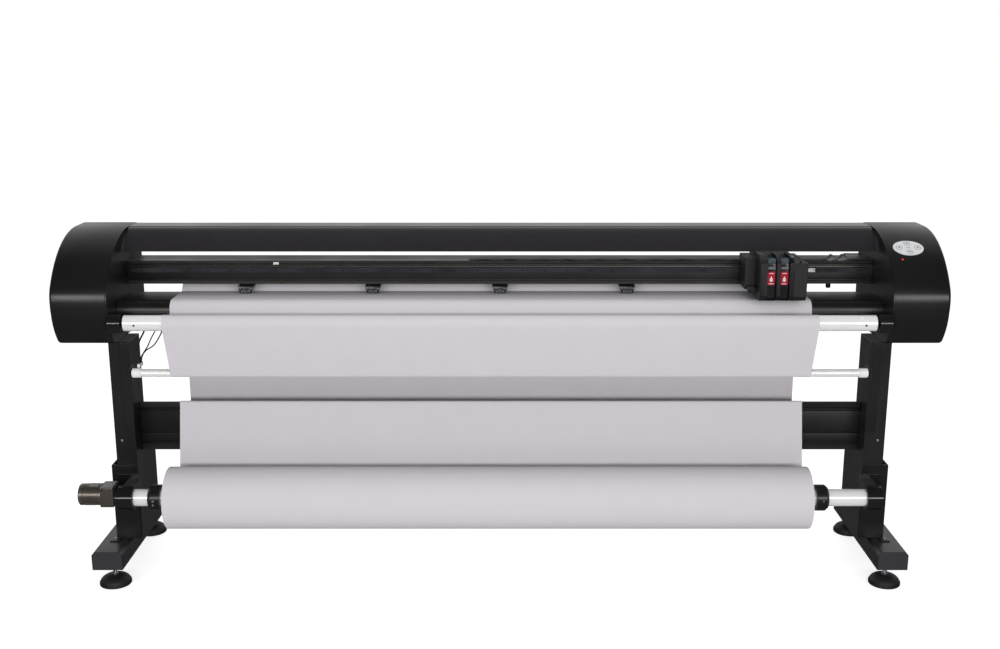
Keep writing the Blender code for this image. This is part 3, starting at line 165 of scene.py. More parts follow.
def settings(group):
    """One of the scene's groups of settings."""
    return getattr(bpy.context.scene, f"cutter_{group}")


# ================================================================ nodes and materials
def add(tree, kind, inputs=None, **options):
    """Adds one node. inputs gives a value, or the socket to link from, for each input socket."""
    node = tree.nodes.new(kind)
    for option, value in options.items():
        setattr(node, option, value)
    for key, value in (inputs or {}).items():
        if isinstance(value, bpy.types.NodeSocket):
            tree.links.new(value, node.inputs[key])
        else:
            node.inputs[key].default_value = value
    return node


def shade(source, share=1.0):
    """A #RRGGBB code or a colour setting, lightened or darkened by a share, with full alpha."""
    tone = linear(source) if source[0] == "#" else getattr(settings("colours"), source)
    return [min(1, c * share) for c in tone] + [1]


def mixed(tree, share, one, two):
    """A colour between two, by a share."""
    return add(tree, "ShaderNodeMix", {0: share, 6: one, 7: two}, data_type="RGBA").outputs[2]


def surface(tree, sockets):
    """The Principled surface that ends a material's tree."""
    made = add(tree, "ShaderNodeBsdfPrincipled", sockets)
    add(tree, "ShaderNodeOutputMaterial", {"Surface": made.outputs[0]})


def begin(name):
    """A new material, its empty tree and the object coordinates."""
    material = bpy.data.materials.new(name)
    material.use_nodes = True
    tree = material.node_tree
    tree.nodes.clear()
    return material, tree, add(tree, "ShaderNodeTexCoord").outputs["Object"]


def finish(name, tones, roughness, grain, height, patch=0.2, stretch=(1, 1, 1), worn=None, shader=None):
    """A material that drifts between two tones and two roughnesses in soft patches, over a fine bumpy grain.

    grain and patch are sizes in metres, height is the depth of the grain, stretch draws the grain out along
    an axis, and worn is the tone that shows through on the edges.
    """
    material, tree, place = begin(name)
    drawn = add(tree, "ShaderNodeMapping", {"Vector": place, "Scale": [1 / s for s in stretch]}).outputs[0]
    fine = add(tree, "ShaderNodeTexNoise", {"Vector": drawn, "Scale": 1 / grain, "Detail": 3}).outputs[0]
    broad = add(tree, "ShaderNodeTexNoise", {"Vector": place, "Scale": 1 / patch, "Detail": 5}).outputs[0]
    both = add(tree, "ShaderNodeMath", {0: fine, 1: broad}, operation="MULTIPLY_ADD")
    both.inputs[2].default_value = 0.1
    tone = mixed(tree, both.outputs[0], *tones)
    if worn:
        bare = add(tree, "ShaderNodeNewGeometry").outputs["Pointiness"]
        reach = {"Value": bare, "From Min": 0.53, "From Max": 0.64, "To Max": 0.5}
        share = add(tree, "ShaderNodeMapRange", reach).outputs[0]
        tone = mixed(tree, share, tone, worn)
    rough = add(tree, "ShaderNodeMapRange", {"Value": broad, "From Min": 0.3, "From Max": 0.7})
    rough.inputs["To Min"].default_value, rough.inputs["To Max"].default_value = roughness
    bump = add(tree, "ShaderNodeBump", {"Height": fine, "Distance": height})
    looks = {"Base Color": tone, "Roughness": rough.outputs[0], "Normal": bump.outputs[0]}
    surface(tree, {**looks, **(shader or {})})
    return material


@functools.cache
def moulded_abs():
    """ABS from a spark-eroded mould: deep black with a fine even grain that spreads a highlight softly.

    The real grain is 0.1 mm. It is drawn 1.6 mm across, the finest that still breaks up a reflection.
    """
    return finish("Moulded ABS", (shade("moulding"), shade("moulding", 1.25)), (0.28, 0.34), 1.6 * MM,
                  0.02 * MM, 0.30, worn=shade("moulding", 2.2))


@functools.cache
def polished_nylon():
    """Black nylon turned from bar and polished: it draws a lamp out to a thin bright line."""
    return finish("Polished black nylon", (shade("#101011"), shade("#1B1B1D")), (0.12, 0.2),
                  2 * MM, 0.01 * MM, 0.05, worn=shade("#3A3A3D"))


@functools.cache
def powder_coated_steel():
    """Steel sheet under satin powder coat: orange peel 2.5 mm across, and paint thinned on the edges."""
    return finish("Powder-coated steel", (shade("coating", 0.9), shade("coating", 1.2)), (0.28, 0.37),
                  2.5 * MM, 0.03 * MM, 0.25, worn=shade("coating", 3))


@functools.cache
def enamel_painted_sheen():
    """Steel lid under stoved satin enamel, smoother than powder coat. Its tone is lighter than the stand's
    black coat all over: a painted highlight for the sheen that the lid catches.
    """
    return finish("Satin enamel", (shade("lid", 0.9), shade("lid", 1.15)), (0.24, 0.33), 2.5 * MM,
                  0.02 * MM, 0.25, worn=shade("lid", 2.5))


@functools.cache
def filled_nylon():
    """Glass-filled nylon, nearly black: dull flow marks a few millimetres across, hardly any highlight."""
    return finish("Glass-filled nylon", (shade("carriage", 0.8), shade("carriage", 1.4)), (0.40, 0.52),
                  3 * MM, 0.02 * MM, 0.10, worn=shade("carriage", 3))


@functools.cache
def moulded_polypropylene():
    """Charcoal polypropylene: waxy, with an even fine grain drawn 1.6 mm across."""
    return finish("Moulded polypropylene", (shade("cap", 0.9), shade("cap", 1.1)), (0.36, 0.44), 1.6 * MM,
                  0.02 * MM, 0.15, worn=shade("cap", 1.8))


@functools.cache
def black_anodised_aluminium():
    """Extruded aluminium, dyed black: die lines run along the bed, 0.6 mm apart and drawn at 1.2 mm."""
    return finish("Black anodised aluminium", (shade("anodised", 0.75), shade("anodised", 1.5)), (0.30, 0.40),
                  1.2 * MM, 0.02 * MM, 0.12, stretch=(300, 1, 1), worn=shade("anodised", 4),
                  shader={"Metallic": 0.2})


@functools.cache
def silver_anodised_aluminium():
    """Drawn aluminium tube, satin silver anodised: fine draw lines along it and a soft bright sheen."""
    return finish("Silver anodised aluminium", (shade("tube", 0.94), shade("tube")), (0.22, 0.30), 0.9 * MM,
                  0.008 * MM, 0.10, stretch=(120, 1, 1), shader={"Metallic": 0.2})


@functools.cache
def ground_steel():
    """Ground and polished shaft steel: turned marks round the shaft, drawn 0.5 mm apart."""
    return finish("Ground steel", (shade("#9B9C9E"), shade("#B9BABC")), (0.18, 0.30), 0.5 * MM,
                  0.005 * MM, 0.05, stretch=(1, 40, 40), shader={"Metallic": 1.0})


@functools.cache
def rail_steel():
    """Blackened guide rail: ground lengthwise after hardening, darker than the shafts."""
    return finish("Blackened rail steel", (shade("#35353A"), shade("#4C4C50")), (0.25, 0.36),
                  0.8 * MM, 0.006 * MM, 0.08, stretch=(200, 1, 1), shader={"Metallic": 0.9})


@functools.cache
def gritted_steel():
    """Feed sleeve with a bonded grit: 0.2 mm grains, drawn at 0.6 mm, that make it dull and rough."""
    return finish("Grit-coated steel", (shade("#56565A"), shade("#8A8A8E")), (0.55, 0.75),
                  0.6 * MM, 0.12 * MM, 0.02, shader={"Metallic": 0.6})


@functools.cache
def zinc_plated_steel():
    """Bright zinc plate: pale bluish grey with cloudy patches a few centimetres across."""
    return finish("Zinc-plated steel", (shade("#A9ADB4"), shade("#C9CCD1")), (0.24, 0.40),
                  3 * MM, 0.01 * MM, 0.03, shader={"Metallic": 1.0})


@functools.cache
def black_oxide_screw():
    """Socket screw in black oxide: nearly black steel with an oily low sheen."""
    return finish("Black oxide steel", (shade("#1E1E20"), shade("#343437")), (0.30, 0.42),
                  0.6 * MM, 0.01 * MM, 0.01, shader={"Metallic": 0.8})


@functools.cache
def motor_lacquer():
    """Cast motor body in a warm grey metallic lacquer: fine flake and a wide, slightly coarse highlight."""
    return finish("Motor lacquer", (shade("motor", 0.8), shade("motor", 1.35)), (0.26, 0.36), 0.7 * MM,
                  0.02 * MM, 0.04, worn=shade("motor", 2.5), shader={"Metallic": 0.75})


@functools.cache
def moulded_nylon():
    """Injection-moulded nylon in off-white: waxy, with a little light in its skin."""
    return finish("White nylon", (shade("#E9E9E6"), shade("#F4F4F2")), (0.38, 0.48), 1.2 * MM,
                  0.01 * MM, 0.05, shader={"Subsurface Weight": 0.1, "Subsurface Scale": 0.002})


@functools.cache
def foot_rubber():
    """Hard black rubber pad: dull, with a dusty bloom in patches of a few centimetres."""
    return finish("Moulded rubber", (shade("#141414"), shade("#2A2928")), (0.52, 0.68),
                  1.0 * MM, 0.05 * MM, 0.03)


@functools.cache
def grey_rubber():
    """Ground polyurethane tyre of the pinch wheels: grey, matt and finely abraded."""
    return finish("Ground polyurethane", (shade("#454548"), shade("#5C5C60")), (0.6, 0.75),
                  0.5 * MM, 0.04 * MM, 0.01)


@functools.cache
def belt_rubber():
    """Neoprene timing belt: matt black with a fabric-faced inner side, 0.4 mm threads drawn at 0.8 mm."""
    return finish("Neoprene belt", (shade("#161617"), shade("#2C2C2D")), (0.6, 0.8), 0.8 * MM,
                  0.05 * MM, 0.03)


@functools.cache
def cartridge_plastic():
    """Glossy styrene cartridge case: smooth and reflective with faint flow marks."""
    return finish("Glossy styrene", (shade("#0F0F11"), shade("#1C1C1F")), (0.14, 0.24), 6 * MM,
                  0.01 * MM, 0.04, worn=shade("#3A3A3E"), shader={"Coat Weight": 0.3})


@functools.cache
def smoked_lid():
    """Smoked clear plastic over the cartridge's foil: bluish grey, and glossier than the case."""
    return finish("Smoked polystyrene", (shade("#3C4A52"), shade("#7F919A")), (0.10, 0.22),
                  4 * MM, 0.04 * MM, 0.012, shader={"Metallic": 0.55, "Coat Weight": 0.5})


@functools.cache
def label_film():
    """Glossy printed film: even red ink over a fine paper tooth."""
    return finish("Printed film", (shade("label", 0.85), shade("label", 1.15)), (0.20, 0.30), 0.6 * MM,
                  0.004 * MM, 0.02)


@functools.cache
def printed_white():
    """White screen ink: flat and slightly chalky."""
    return finish("White ink", (shade("#DAD9DC"), shade("#EDECEE")), (0.45, 0.6), 0.5 * MM,
                  0.004 * MM, 0.02)


@functools.cache
def printed_grey():
    """Dark grey screen ink on the keys: matt beside the glossy panel."""
    return finish("Grey ink", (shade("#3B3C40"), shade("#505156")), (0.5, 0.65), 0.5 * MM,
                  0.004 * MM, 0.02)


@functools.cache
def latch_plastic():
    """Mid-grey moulded latch: satin, and lighter than the case so that a hand finds it."""
    return finish("Grey ABS", (shade("#5A5B5E"), shade("#6E6F72")), (0.35, 0.45), 1.2 * MM,
                  0.01 * MM, 0.03, worn=shade("#8C8D90"))


@functools.cache
def keypad_overlay():
    """Polycarbonate overlay, gloss white from behind: smooth, with a slight orange peel from its glue."""
    return finish("Polycarbonate overlay", (shade("#DCDDDF"), shade("#EAEBEC")), (0.22, 0.32),
                  4 * MM, 0.01 * MM, 0.03, shader={"Coat Weight": 0.4})


@functools.cache
def pvc_jacket():
    """Soft PVC lead jacket: black and a little waxy."""
    return finish("PVC jacket", (shade("#131314"), shade("#242425")), (0.35, 0.5), 1.5 * MM,
                  0.02 * MM, 0.05)


@functools.cache
def glowing_lamp():
    """Red signal lamp: a tinted lens lit from inside."""
    red = "#FF3A12"
    return finish("Lit red lens", (shade(red), shade(red, 1.2)), (0.15, 0.25), 1 * MM, 0.01 * MM, 0.01,
                  shader={"Emission Color": shade(red), "Emission Strength": 1.1})


@functools.cache
def plotting_paper():
    """Uncoated plotting paper: matt fibres, a faint cloudiness from the pulp, and soft handling creases.

    The fibres are 0.1 mm and are drawn at 0.8 mm. The clouds are 60 mm and the creases about 250 mm apart.
    """
    material, tree, place = begin("Plotting paper")
    fine = {"Vector": place, "Scale": 1 / (0.8 * MM), "Detail": 4}
    fibre = add(tree, "ShaderNodeTexNoise", fine).outputs[0]
    cloud = add(tree, "ShaderNodeTexNoise", {"Vector": place, "Scale": 1 / 0.06, "Detail": 6}).outputs[0]
    bent = add(tree, "ShaderNodeVectorMath", {0: cloud, 1: place}, operation="ADD").outputs[0]
    cells = add(tree, "ShaderNodeTexVoronoi", {"Vector": bent, "Scale": 1 / 0.25}, feature="DISTANCE_TO_EDGE")
    crease = add(tree, "ShaderNodeMapRange", {"Value": cells.outputs[0], "From Max": 0.02}).outputs[0]
    tone = mixed(tree, cloud, shade("paper", 0.975), shade("paper", 1.02))
    soft = {"Height": crease, "Distance": 0.25 * MM, "Strength": 0.35}
    folds = add(tree, "ShaderNodeBump", soft).outputs[0]
    tooth = add(tree, "ShaderNodeBump", {"Height": fibre, "Distance": 0.05 * MM, "Normal": folds}).outputs[0]
    rough = add(tree, "ShaderNodeMapRange", {"Value": fibre, "To Min": 0.78, "To Max": 0.95}).outputs[0]
    surface(tree, {"Base Color": tone, "Roughness": rough, "Normal": tooth, "Specular IOR Level": 0.25})
    return material


@functools.cache
def flat_cable_pvc():
    """Grey PVC flat cable: ridges over its conductors, 1.27 mm apart across the cable. Its tone follows the
    ridges: painted highlight on their crests and painted shade in the grooves.
    """
    material, tree, place = begin("Ribbed PVC")
    across = add(tree, "ShaderNodeSeparateXYZ", {0: place}).outputs["Y"]
    turns = add(tree, "ShaderNodeMath", {0: across, 1: 2 * math.pi / (1.27 * MM)}, operation="MULTIPLY")
    ridge = add(tree, "ShaderNodeMath", {0: turns.outputs[0]}, operation="SINE").outputs[0]
    share = add(tree, "ShaderNodeMapRange", {"Value": ridge, "From Min": -1}).outputs[0]
    # painted highlight on each ridge and painted shade in each groove
    tone = mixed(tree, share, shade("#1D1D1F"), shade("#3A3A3D"))
    bump = add(tree, "ShaderNodeBump", {"Height": share, "Distance": 0.2 * MM}).outputs[0]
    rough = add(tree, "ShaderNodeMapRange", {"Value": share, "To Min": 0.55, "To Max": 0.4}).outputs[0]
    surface(tree, {"Base Color": tone, "Roughness": rough, "Normal": bump})
    return material


# ================================================================ making meshes
def mm(*points):
    """Points given in millimetres, in metres."""
    return [tuple(value * MM for value in point) for point in points]


def arc(centre, radius, start, end, steps):
    """Points round a centre, from start to end in degrees, anticlockwise from the first axis."""
    angles = [math.radians(start + (end - start) * i / steps) for i in range(steps + 1)]
    return [(centre[0] + radius * math.cos(a), centre[1] + radius * math.sin(a)) for a in angles]


def smooth_path(points, steps):
    """A curve through the points, with a few straight steps between each pair."""
    ends = [Vector(points[0]) * 2 - Vector(points[1])]
    ends += [Vector(p) for p in points]
    ends.append(Vector(points[-1]) * 2 - Vector(points[-2]))
    out = []
    for a, b, c, d in zip(ends, ends[1:], ends[2:], ends[3:]):
        for i in range(steps):
            t = i / steps
            point = b + (c - a) * t / 2 + (a * 2 - b * 5 + c * 4 - d) * t * t / 2
            out.append(tuple(point + (b * 3 - a - c * 3 + d) * t * t * t / 2))
    return out + [tuple(points[-1])]


def inset(outline, distance):
    """An anticlockwise outline moved inwards by a distance, corner by corner."""
    moved = []
    for i, here in enumerate(outline):
        before = Vector(here) - Vector(outline[i - 1])
        after = Vector(outline[(i + 1) % len(outline)]) - Vector(here)
        one = Vector((-before.y, before.x)).normalized()
        two = Vector((-after.y, after.x)).normalized()
        moved.append(tuple(Vector(here) + (one + two) / (1 + one.dot(two)) * distance))
    return moved


def rounded(low, high, radius, steps=6):
    """Rectangle between two corners with its corners rounded."""
    places = ((high, high, 0), (low, high, 90), (low, low, 180), (high, low, 270))
    outline = []
    for one, two, start in places:
        centre = (one[0] + radius * (1 if one is low else -1), two[1] + radius * (1 if two is low else -1))
        outline += arc(centre, radius, start, start + 90, steps)
    return outline


def loft(rings, closed=False):
    """One skin over rings of equally many points, its ends capped unless the last ring meets the first."""
    bm = bmesh.new()
    rows = [[bm.verts.new(point) for point in ring] for ring in rings]
    pairs = list(zip(rows, rows[1:]))
    if closed:
        pairs.append((rows[-1], rows[0]))
    else:
        for row in (rows[0], rows[-1]):
            if len(row) > 2:
                bm.faces.new(row)
    for one, two in pairs:
        count = max(len(one), len(two))
        for i in range(count):
            j = (i + 1) % count
            ring = (one[i % len(one)], one[j % len(one)], two[j % len(two)], two[i % len(two)])
            bm.faces.new(list(dict.fromkeys(ring)))
    return bm


def prism(outline, low, high, axis="X"):
    """An outline pushed along an axis. It is drawn in YZ for X, XZ for Y and XY for Z."""
    order = {"X": (2, 0, 1), "Y": (0, 2, 1), "Z": (0, 1, 2)}[axis]
    return loft([[tuple((a, b, t)[k] for k in order) for a, b in outline] for t in (low, high)])


def turned(profile, centre, axis="X", sides=48):
    """A profile of (radius, distance along the axis) points turned about the axis through centre."""
    order = {"X": (2, 0, 1), "Y": (1, 2, 0), "Z": (0, 1, 2)}[axis]
    rings = []
    for radius, along in profile:
        spots = arc((0, 0), radius, 0, 360 - 360 / sides, sides - 1) if radius else [(0, 0)]
        rings.append([tuple(Vector(centre) + Vector([(a, b, along)[k] for k in order])) for a, b in spots])
    return loft(rings, closed=bool(profile[0][0] and profile[-1][0]))


def washer(bore, radius, low, high):
    """Square-edged profile between two radii and two places along the axis."""
    return [(bore, low), (radius, low), (radius, high), (bore, high)]


def mirrored(profile, span=0.0):
    """A profile with its own mirror image after it. span is the sum of the two ends' places."""
    return profile + [(r, span - x) for r, x in profile[::-1]]


def block(low, high):
    """A box between two corners."""
    outline = [(low[1], low[2]), (high[1], low[2]), (high[1], high[2]), (low[1], high[2])]
    return prism(outline, low[0], high[0])


def meshed(name, bm):
    """A shape's mesh. The shape is used up."""
    mesh = bpy.data.meshes.new(name)
    bm.to_mesh(mesh)
    bm.free()
    return mesh


def linked(name, data):
    """A new object in the scene."""
    obj = bpy.data.objects.new(name, data)
    bpy.context.scene.collection.objects.link(obj)
    return obj


def helper(name, bm):
    """A plain object that is cut away, copied or followed, and removed afterwards."""
    bmesh.ops.recalc_face_normals(bm, faces=bm.faces)
    return linked(name, meshed(name, bm))


def joined(*parts):
    """Several closed shapes in one mesh."""
    whole = parts[0]
    for part in parts[1:]:
        mesh = meshed("part", part)
        whole.from_mesh(mesh)
        bpy.data.meshes.remove(mesh)
    return whole


def node_copy(node):
    """A CAD node's shape with its loose triangles merged into whole faces."""
    bm = bmesh.new()
    bm.from_mesh(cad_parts[node].data)
    bmesh.ops.remove_doubles(bm, verts=bm.verts, dist=0.00002)
    bmesh.ops.dissolve_limit(bm, angle_limit=math.radians(0.6), verts=bm.verts, edges=bm.edges)
    return bm


def bake_modifiers(obj):
    """Turns an object with live modifiers into a plain mesh."""
    graph = bpy.context.evaluated_depsgraph_get()
    mesh = bpy.data.meshes.new_from_object(obj.evaluated_get(graph), depsgraph=graph)
    mesh.name = obj.name
    obj.modifiers.clear()
    obj.data = mesh


def place(obj, body, slot, replaced=()):
    """Bakes a finished piece, puts it on its body and hides the CAD nodes that it stands for."""
    bake_modifiers(obj)
    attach(obj, body)
    if replaced:
        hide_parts(*replaced)
    return obj


def cut(obj, *tools):
    """Takes closed shapes away from an object."""
    for tool in tools:
        shape = helper("cutter", tool)
        modifier = obj.modifiers.new("cut", "BOOLEAN")
        modifier.object = shape
        bake_modifiers(obj)
        bpy.data.objects.remove(shape)


def piece(name, bm, material, body, slot, replaced=(), bevel=0.0, segments=2, angle=35, tools=(), mends=True):
    """Makes a finished piece from a shape: openings cut, edges rounded, curves shaded smooth."""
    if mends:
        bmesh.ops.recalc_face_normals(bm, faces=bm.faces)
    mesh = meshed(name, bm)
    mesh.materials.append(material)
    obj = linked(name, mesh)
    cut(obj, *tools)
    obj.data.shade_smooth()
    obj.data.set_sharp_from_angle(angle=math.radians(angle))
    if bevel:
        modifier = obj.modifiers.new("edges", "BEVEL")
        modifier.width = bevel
        modifier.segments = segments
        modifier.limit_method = "ANGLE"
        modifier.angle_limit = math.radians(angle)
        modifier.harden_normals = True
    return place(obj, body, slot, replaced)


def refined(node, material, body, slot, bevel=0.0006, segments=2, angle=35):
    """A CAD node's own shape with its edges rounded and its curves shaded smooth."""
    shape = node_copy(node)
    return piece(f"{node}_fine", shape, material, body, slot, (node,), bevel, segments, angle, mends=False)


def tube(route, radius, sides=12):
    """A round rod along the points of a route, with flat ends."""
    steps = [(Vector(b) - Vector(a)).normalized() for a, b in zip(route, route[1:])]
    ways = [steps[0]] + [(a + b).normalized() for a, b in zip(steps, steps[1:])] + [steps[-1]]
    across = ways[0].orthogonal().normalized()
    rings = []
    for spot, way in zip(route, ways):
        across = (across - way * across.dot(way)).normalized()
        other = way.cross(across)
        circle = arc((0, 0), radius, 0, 360 - 360 / sides, sides - 1)
        rings.append([tuple(Vector(spot) + across * a + other * b) for a, b in circle])
    return loft(rings)


def slab(rows, thickness):
    """A closed sheet of even thickness whose middle runs through a grid of points."""
    bm = bmesh.new()
    last, edge = len(rows) - 1, len(rows[0]) - 1
    sides = ([], [])
    for i, row in enumerate(rows):
        for way, side in zip((1, -1), sides):
            side.append([])
            for j, spot in enumerate(row):
                along = rows[min(i + 1, last)][j] - rows[max(i - 1, 0)][j]
                across = row[min(j + 1, edge)] - row[max(j - 1, 0)]
                out = along.cross(across).normalized() * thickness / 2
                side[-1].append(bm.verts.new(spot + out * way))
    front, back = sides
    for i in range(last):
        for j in range(edge):
            bm.faces.new((front[i][j], front[i][j + 1], front[i + 1][j + 1], front[i + 1][j]))
            bm.faces.new((back[i][j], back[i + 1][j], back[i + 1][j + 1], back[i][j + 1]))
        for j in (0, edge):
            bm.faces.new((front[i][j], front[i + 1][j], back[i + 1][j], back[i][j]))
    for j in range(edge):
        for i in (0, last):
            bm.faces.new((front[i][j], front[i][j + 1], back[i][j + 1], back[i][j]))
    return bm


# ================================================================ repeats
def begin_tree(name, sockets):
    """A Geometry Nodes tree with its named inputs."""
    tree = bpy.data.node_groups.new(name, "GeometryNodeTree")
    tree.interface.new_socket("Geometry", in_out="OUTPUT", socket_type="NodeSocketGeometry")
    for label, kind in sockets.items():
        tree.interface.new_socket(label, in_out="INPUT", socket_type=f"NodeSocket{kind}")
    return tree, add(tree, "NodeGroupInput").outputs


def end_tree(tree, points, given, rotation=None):
    """Puts the shape on every point, makes the copies real and gives them their material."""
    shape = add(tree, "GeometryNodeObjectInfo", {"Object": given["Shape"]}).outputs["Geometry"]
    inputs = {"Points": points, "Instance": shape}
    if rotation:
        inputs["Rotation"] = rotation
    copies = add(tree, "GeometryNodeInstanceOnPoints", inputs).outputs[0]
    real = add(tree, "GeometryNodeRealizeInstances", {0: copies}).outputs[0]
    done = add(tree, "GeometryNodeSetMaterial", {"Geometry": real, "Material": given["Material"]}).outputs[0]
    add(tree, "NodeGroupOutput", {0: done})
    return tree


@functools.cache
def line_tree():
    """Copies of a shape, evenly spread along a straight line."""
    kinds = {"Shape": "Object", "Material": "Material", "Count": "Int", "Start": "Vector", "End": "Vector"}
    tree, given = begin_tree("Along a line", kinds)
    ends = {"Count": given["Count"], "Start Location": given["Start"], "Offset": given["End"]}
    line = add(tree, "GeometryNodeMeshLine", ends, mode="END_POINTS").outputs[0]
    return end_tree(tree, line, given)


@functools.cache
def ring_tree():
    """Copies of a shape turned evenly round an axis through a centre."""
    kinds = {"Shape": "Object", "Material": "Material", "Count": "Int", "Centre": "Vector", "Axis": "Vector"}
    tree, given = begin_tree("Round an axis", kinds)
    here = {"Count": given["Count"], "Start Location": given["Centre"], "Offset": given["Centre"]}
    points = add(tree, "GeometryNodeMeshLine", here, mode="END_POINTS").outputs[0]
    step = add(tree, "ShaderNodeMath", {0: 2 * math.pi, 1: given["Count"]}, operation="DIVIDE").outputs[0]
    index = add(tree, "GeometryNodeInputIndex").outputs[0]
    angle = add(tree, "ShaderNodeMath", {0: index, 1: step}, operation="MULTIPLY").outputs[0]
    turn = add(tree, "FunctionNodeAxisAngleToRotation", {"Axis": given["Axis"], "Angle": angle}).outputs[0]
    return end_tree(tree, points, given, turn)


@functools.cache
def loop_tree():
    """Copies of a shape at an even pitch along a closed loop, each turned with the loop about Y."""
    kinds = {"Shape": "Object", "Material": "Material", "Loop": "Object", "Pitch": "Float"}
    tree, given = begin_tree("Round a loop", kinds)
    outline = add(tree, "GeometryNodeObjectInfo", {"Object": given["Loop"]}).outputs["Geometry"]
    curve = add(tree, "GeometryNodeMeshToCurve", {"Mesh": outline}).outputs[0]
    spots = add(tree, "GeometryNodeCurveToPoints", {"Curve": curve, "Length": given["Pitch"]}, mode="LENGTH")
    turn = add(tree, "FunctionNodeAlignRotationToVector", {"Vector": spots.outputs["Tangent"]}, axis="X",
               pivot_axis="Y").outputs[0]
    return end_tree(tree, spots.outputs["Points"], given, turn)


def repeated(name, tree, shape, material, body, slot, smooth=40, **inputs):
    """One piece that holds every copy a tree makes of a shape."""
    source = helper(name + "_shape", shape)
    values = {"Shape": source, "Material": material, **inputs}
    obj = linked(name, bpy.data.meshes.new(name))
    modifier = obj.modifiers.new("copies", "NODES")
    modifier.node_group = tree
    for item in tree.interface.items_tree:
        if item.in_out == "INPUT":
            modifier[item.identifier] = values[item.name]
    bake_modifiers(obj)
    bpy.data.objects.remove(source)
    obj.data.shade_smooth()
    obj.data.set_sharp_from_angle(angle=math.radians(smooth))
    return place(obj, body, slot)


def screw(radius, depth, axis="Z", way=1, sides=12):
    """Socket-head screw that stands up from the origin along an axis."""
    profile = [(0, 0.45), (0.5, 0.45), (0.5, 1), (0.86, 1), (1, 0.82), (1, 0), (0, 0)]
    return turned([(r * radius, way * h * depth) for r, h in profile], (0, 0, 0), axis, sides)


def screws(name, start, end, count, radius, depth, body, slot, axis="Z", way=1, material=None):
    """A straight row of socket-head screws."""
    finish_used = material or black_oxide_screw()
    return repeated(name, line_tree(), screw(radius, depth, axis, way), finish_used, body, slot,
                    Count=count, Start=start, End=end)


# ================================================================ the stage
class StageOperator(bpy.types.Operator):
    """Lays the floor and sets the lamps, the room and the camera"""

    bl_idname = "cutter.stage"
    bl_label = "Stage"

    def execute(self, context):
        group = settings("stage")
        scene = context.scene
        scene.view_settings.view_transform = "Standard"
        bm = bmesh.new()
        bmesh.ops.create_grid(bm, x_segments=2, y_segments=2, size=14)
        mesh = meshed("floor", bm)
        mesh.transform(Matrix.Translation((0, 0, -0.5 * MM)))
        mesh.materials.append(white_floor())
        linked("floor", mesh)
        scene.world = white_room(group.fill)
        aim = Vector((0, 0, 0.6))
        lamp("front_lamp", (0, -4.6, 1.50), aim, (8.0, 0.50), group.front_light)
        top = lamp("top_lamp", (0, 0.2, 3.3), aim, (3.4, 1.4), group.top_light)
        top.visible_glossy = False
        camera = bpy.data.cameras.new("camera")
        camera.lens = group.lens
        view = linked("camera", camera)
        view.location = (0, -group.distance, group.height)
        view.rotation_euler = (math.pi / 2 - group.pitch, 0, 0)
        scene.camera = view
        return {"FINISHED"}


def lamp(name, place_at, aim, extent, power):
    """A rectangular softbox turned towards a point."""
    data = bpy.data.lights.new(name, "AREA")
    data.shape = "RECTANGLE"
    data.size, data.size_y = extent
    data.energy = power
    obj = linked(name, data)
    obj.location = place_at
    obj.rotation_euler = (aim - Vector(place_at)).to_track_quat("-Z", "Y").to_euler()
    return obj


def seen_directly(tree, path):
    """1 for what the eye sees, also through glass, else 0."""
    kinds = {0: path["Is Camera Ray"], 1: path["Is Transmission Ray"]}
    return add(tree, "ShaderNodeMath", kinds, operation="MAXIMUM").outputs[0]


def white_floor():
    """Matt white floor that glows faintly to the eye, so only the object's shadow is darker than white."""
    material, tree, place_in = begin("Matt white floor")
    path = add(tree, "ShaderNodeLightPath").outputs
    seen = seen_directly(tree, path)
    glow = add(tree, "ShaderNodeMath", {0: seen, 1: 0.72}, operation="MULTIPLY").outputs[0]
    tooth = add(tree, "ShaderNodeTexNoise", {"Vector": place_in, "Scale": 40.0}).outputs[0]
    tone = mixed(tree, tooth, (0.78, 0.78, 0.78, 1), (0.82, 0.82, 0.82, 1))
    matt = add(tree, "ShaderNodeBsdfDiffuse", {"Color": tone}).outputs[0]
    light = add(tree, "ShaderNodeEmission", {"Strength": glow}).outputs[0]
    both = add(tree, "ShaderNodeAddShader", {0: matt, 1: light}).outputs[0]
    dimmer = add(tree, "ShaderNodeEmission", {"Strength": 0.10}).outputs[0]
    both = add(tree, "ShaderNodeMixShader", {0: path["Is Glossy Ray"], 1: both, 2: dimmer}).outputs[0]
    add(tree, "ShaderNodeOutputMaterial", {"Surface": both})
    return material


def white_room(fill):
    """White to the eye and through glass. Gloss sees a bright wall behind the machine and a dim room."""
    world = bpy.data.worlds.new("White room")
    world.use_nodes = True
    tree = world.node_tree
    tree.nodes.clear()
    path = add(tree, "ShaderNodeLightPath").outputs
    way = add(tree, "ShaderNodeTexCoord").outputs["Generated"]
    up = add(tree, "ShaderNodeVectorMath", {0: way, 1: (0, 1, 0)}, operation="DOT_PRODUCT").outputs["Value"]
    room = {"Value": up, "From Min": 0.0, "From Max": 0.75, "To Min": 0.03, "To Max": 0.75}
    gloss = add(tree, "ShaderNodeMapRange", room).outputs[0]
    even = add(tree, "ShaderNodeMix", {0: path["Is Glossy Ray"], 2: fill, 3: gloss}).outputs[0]
    seen = seen_directly(tree, path)
    strength = add(tree, "ShaderNodeMix", {0: seen, 2: even, 3: 1.0}).outputs[0]
    sky = add(tree, "ShaderNodeBackground", {"Color": (1, 1, 1, 1), "Strength": strength}).outputs[0]
    add(tree, "ShaderNodeOutputWorld", {"Surface": sky})
    return world


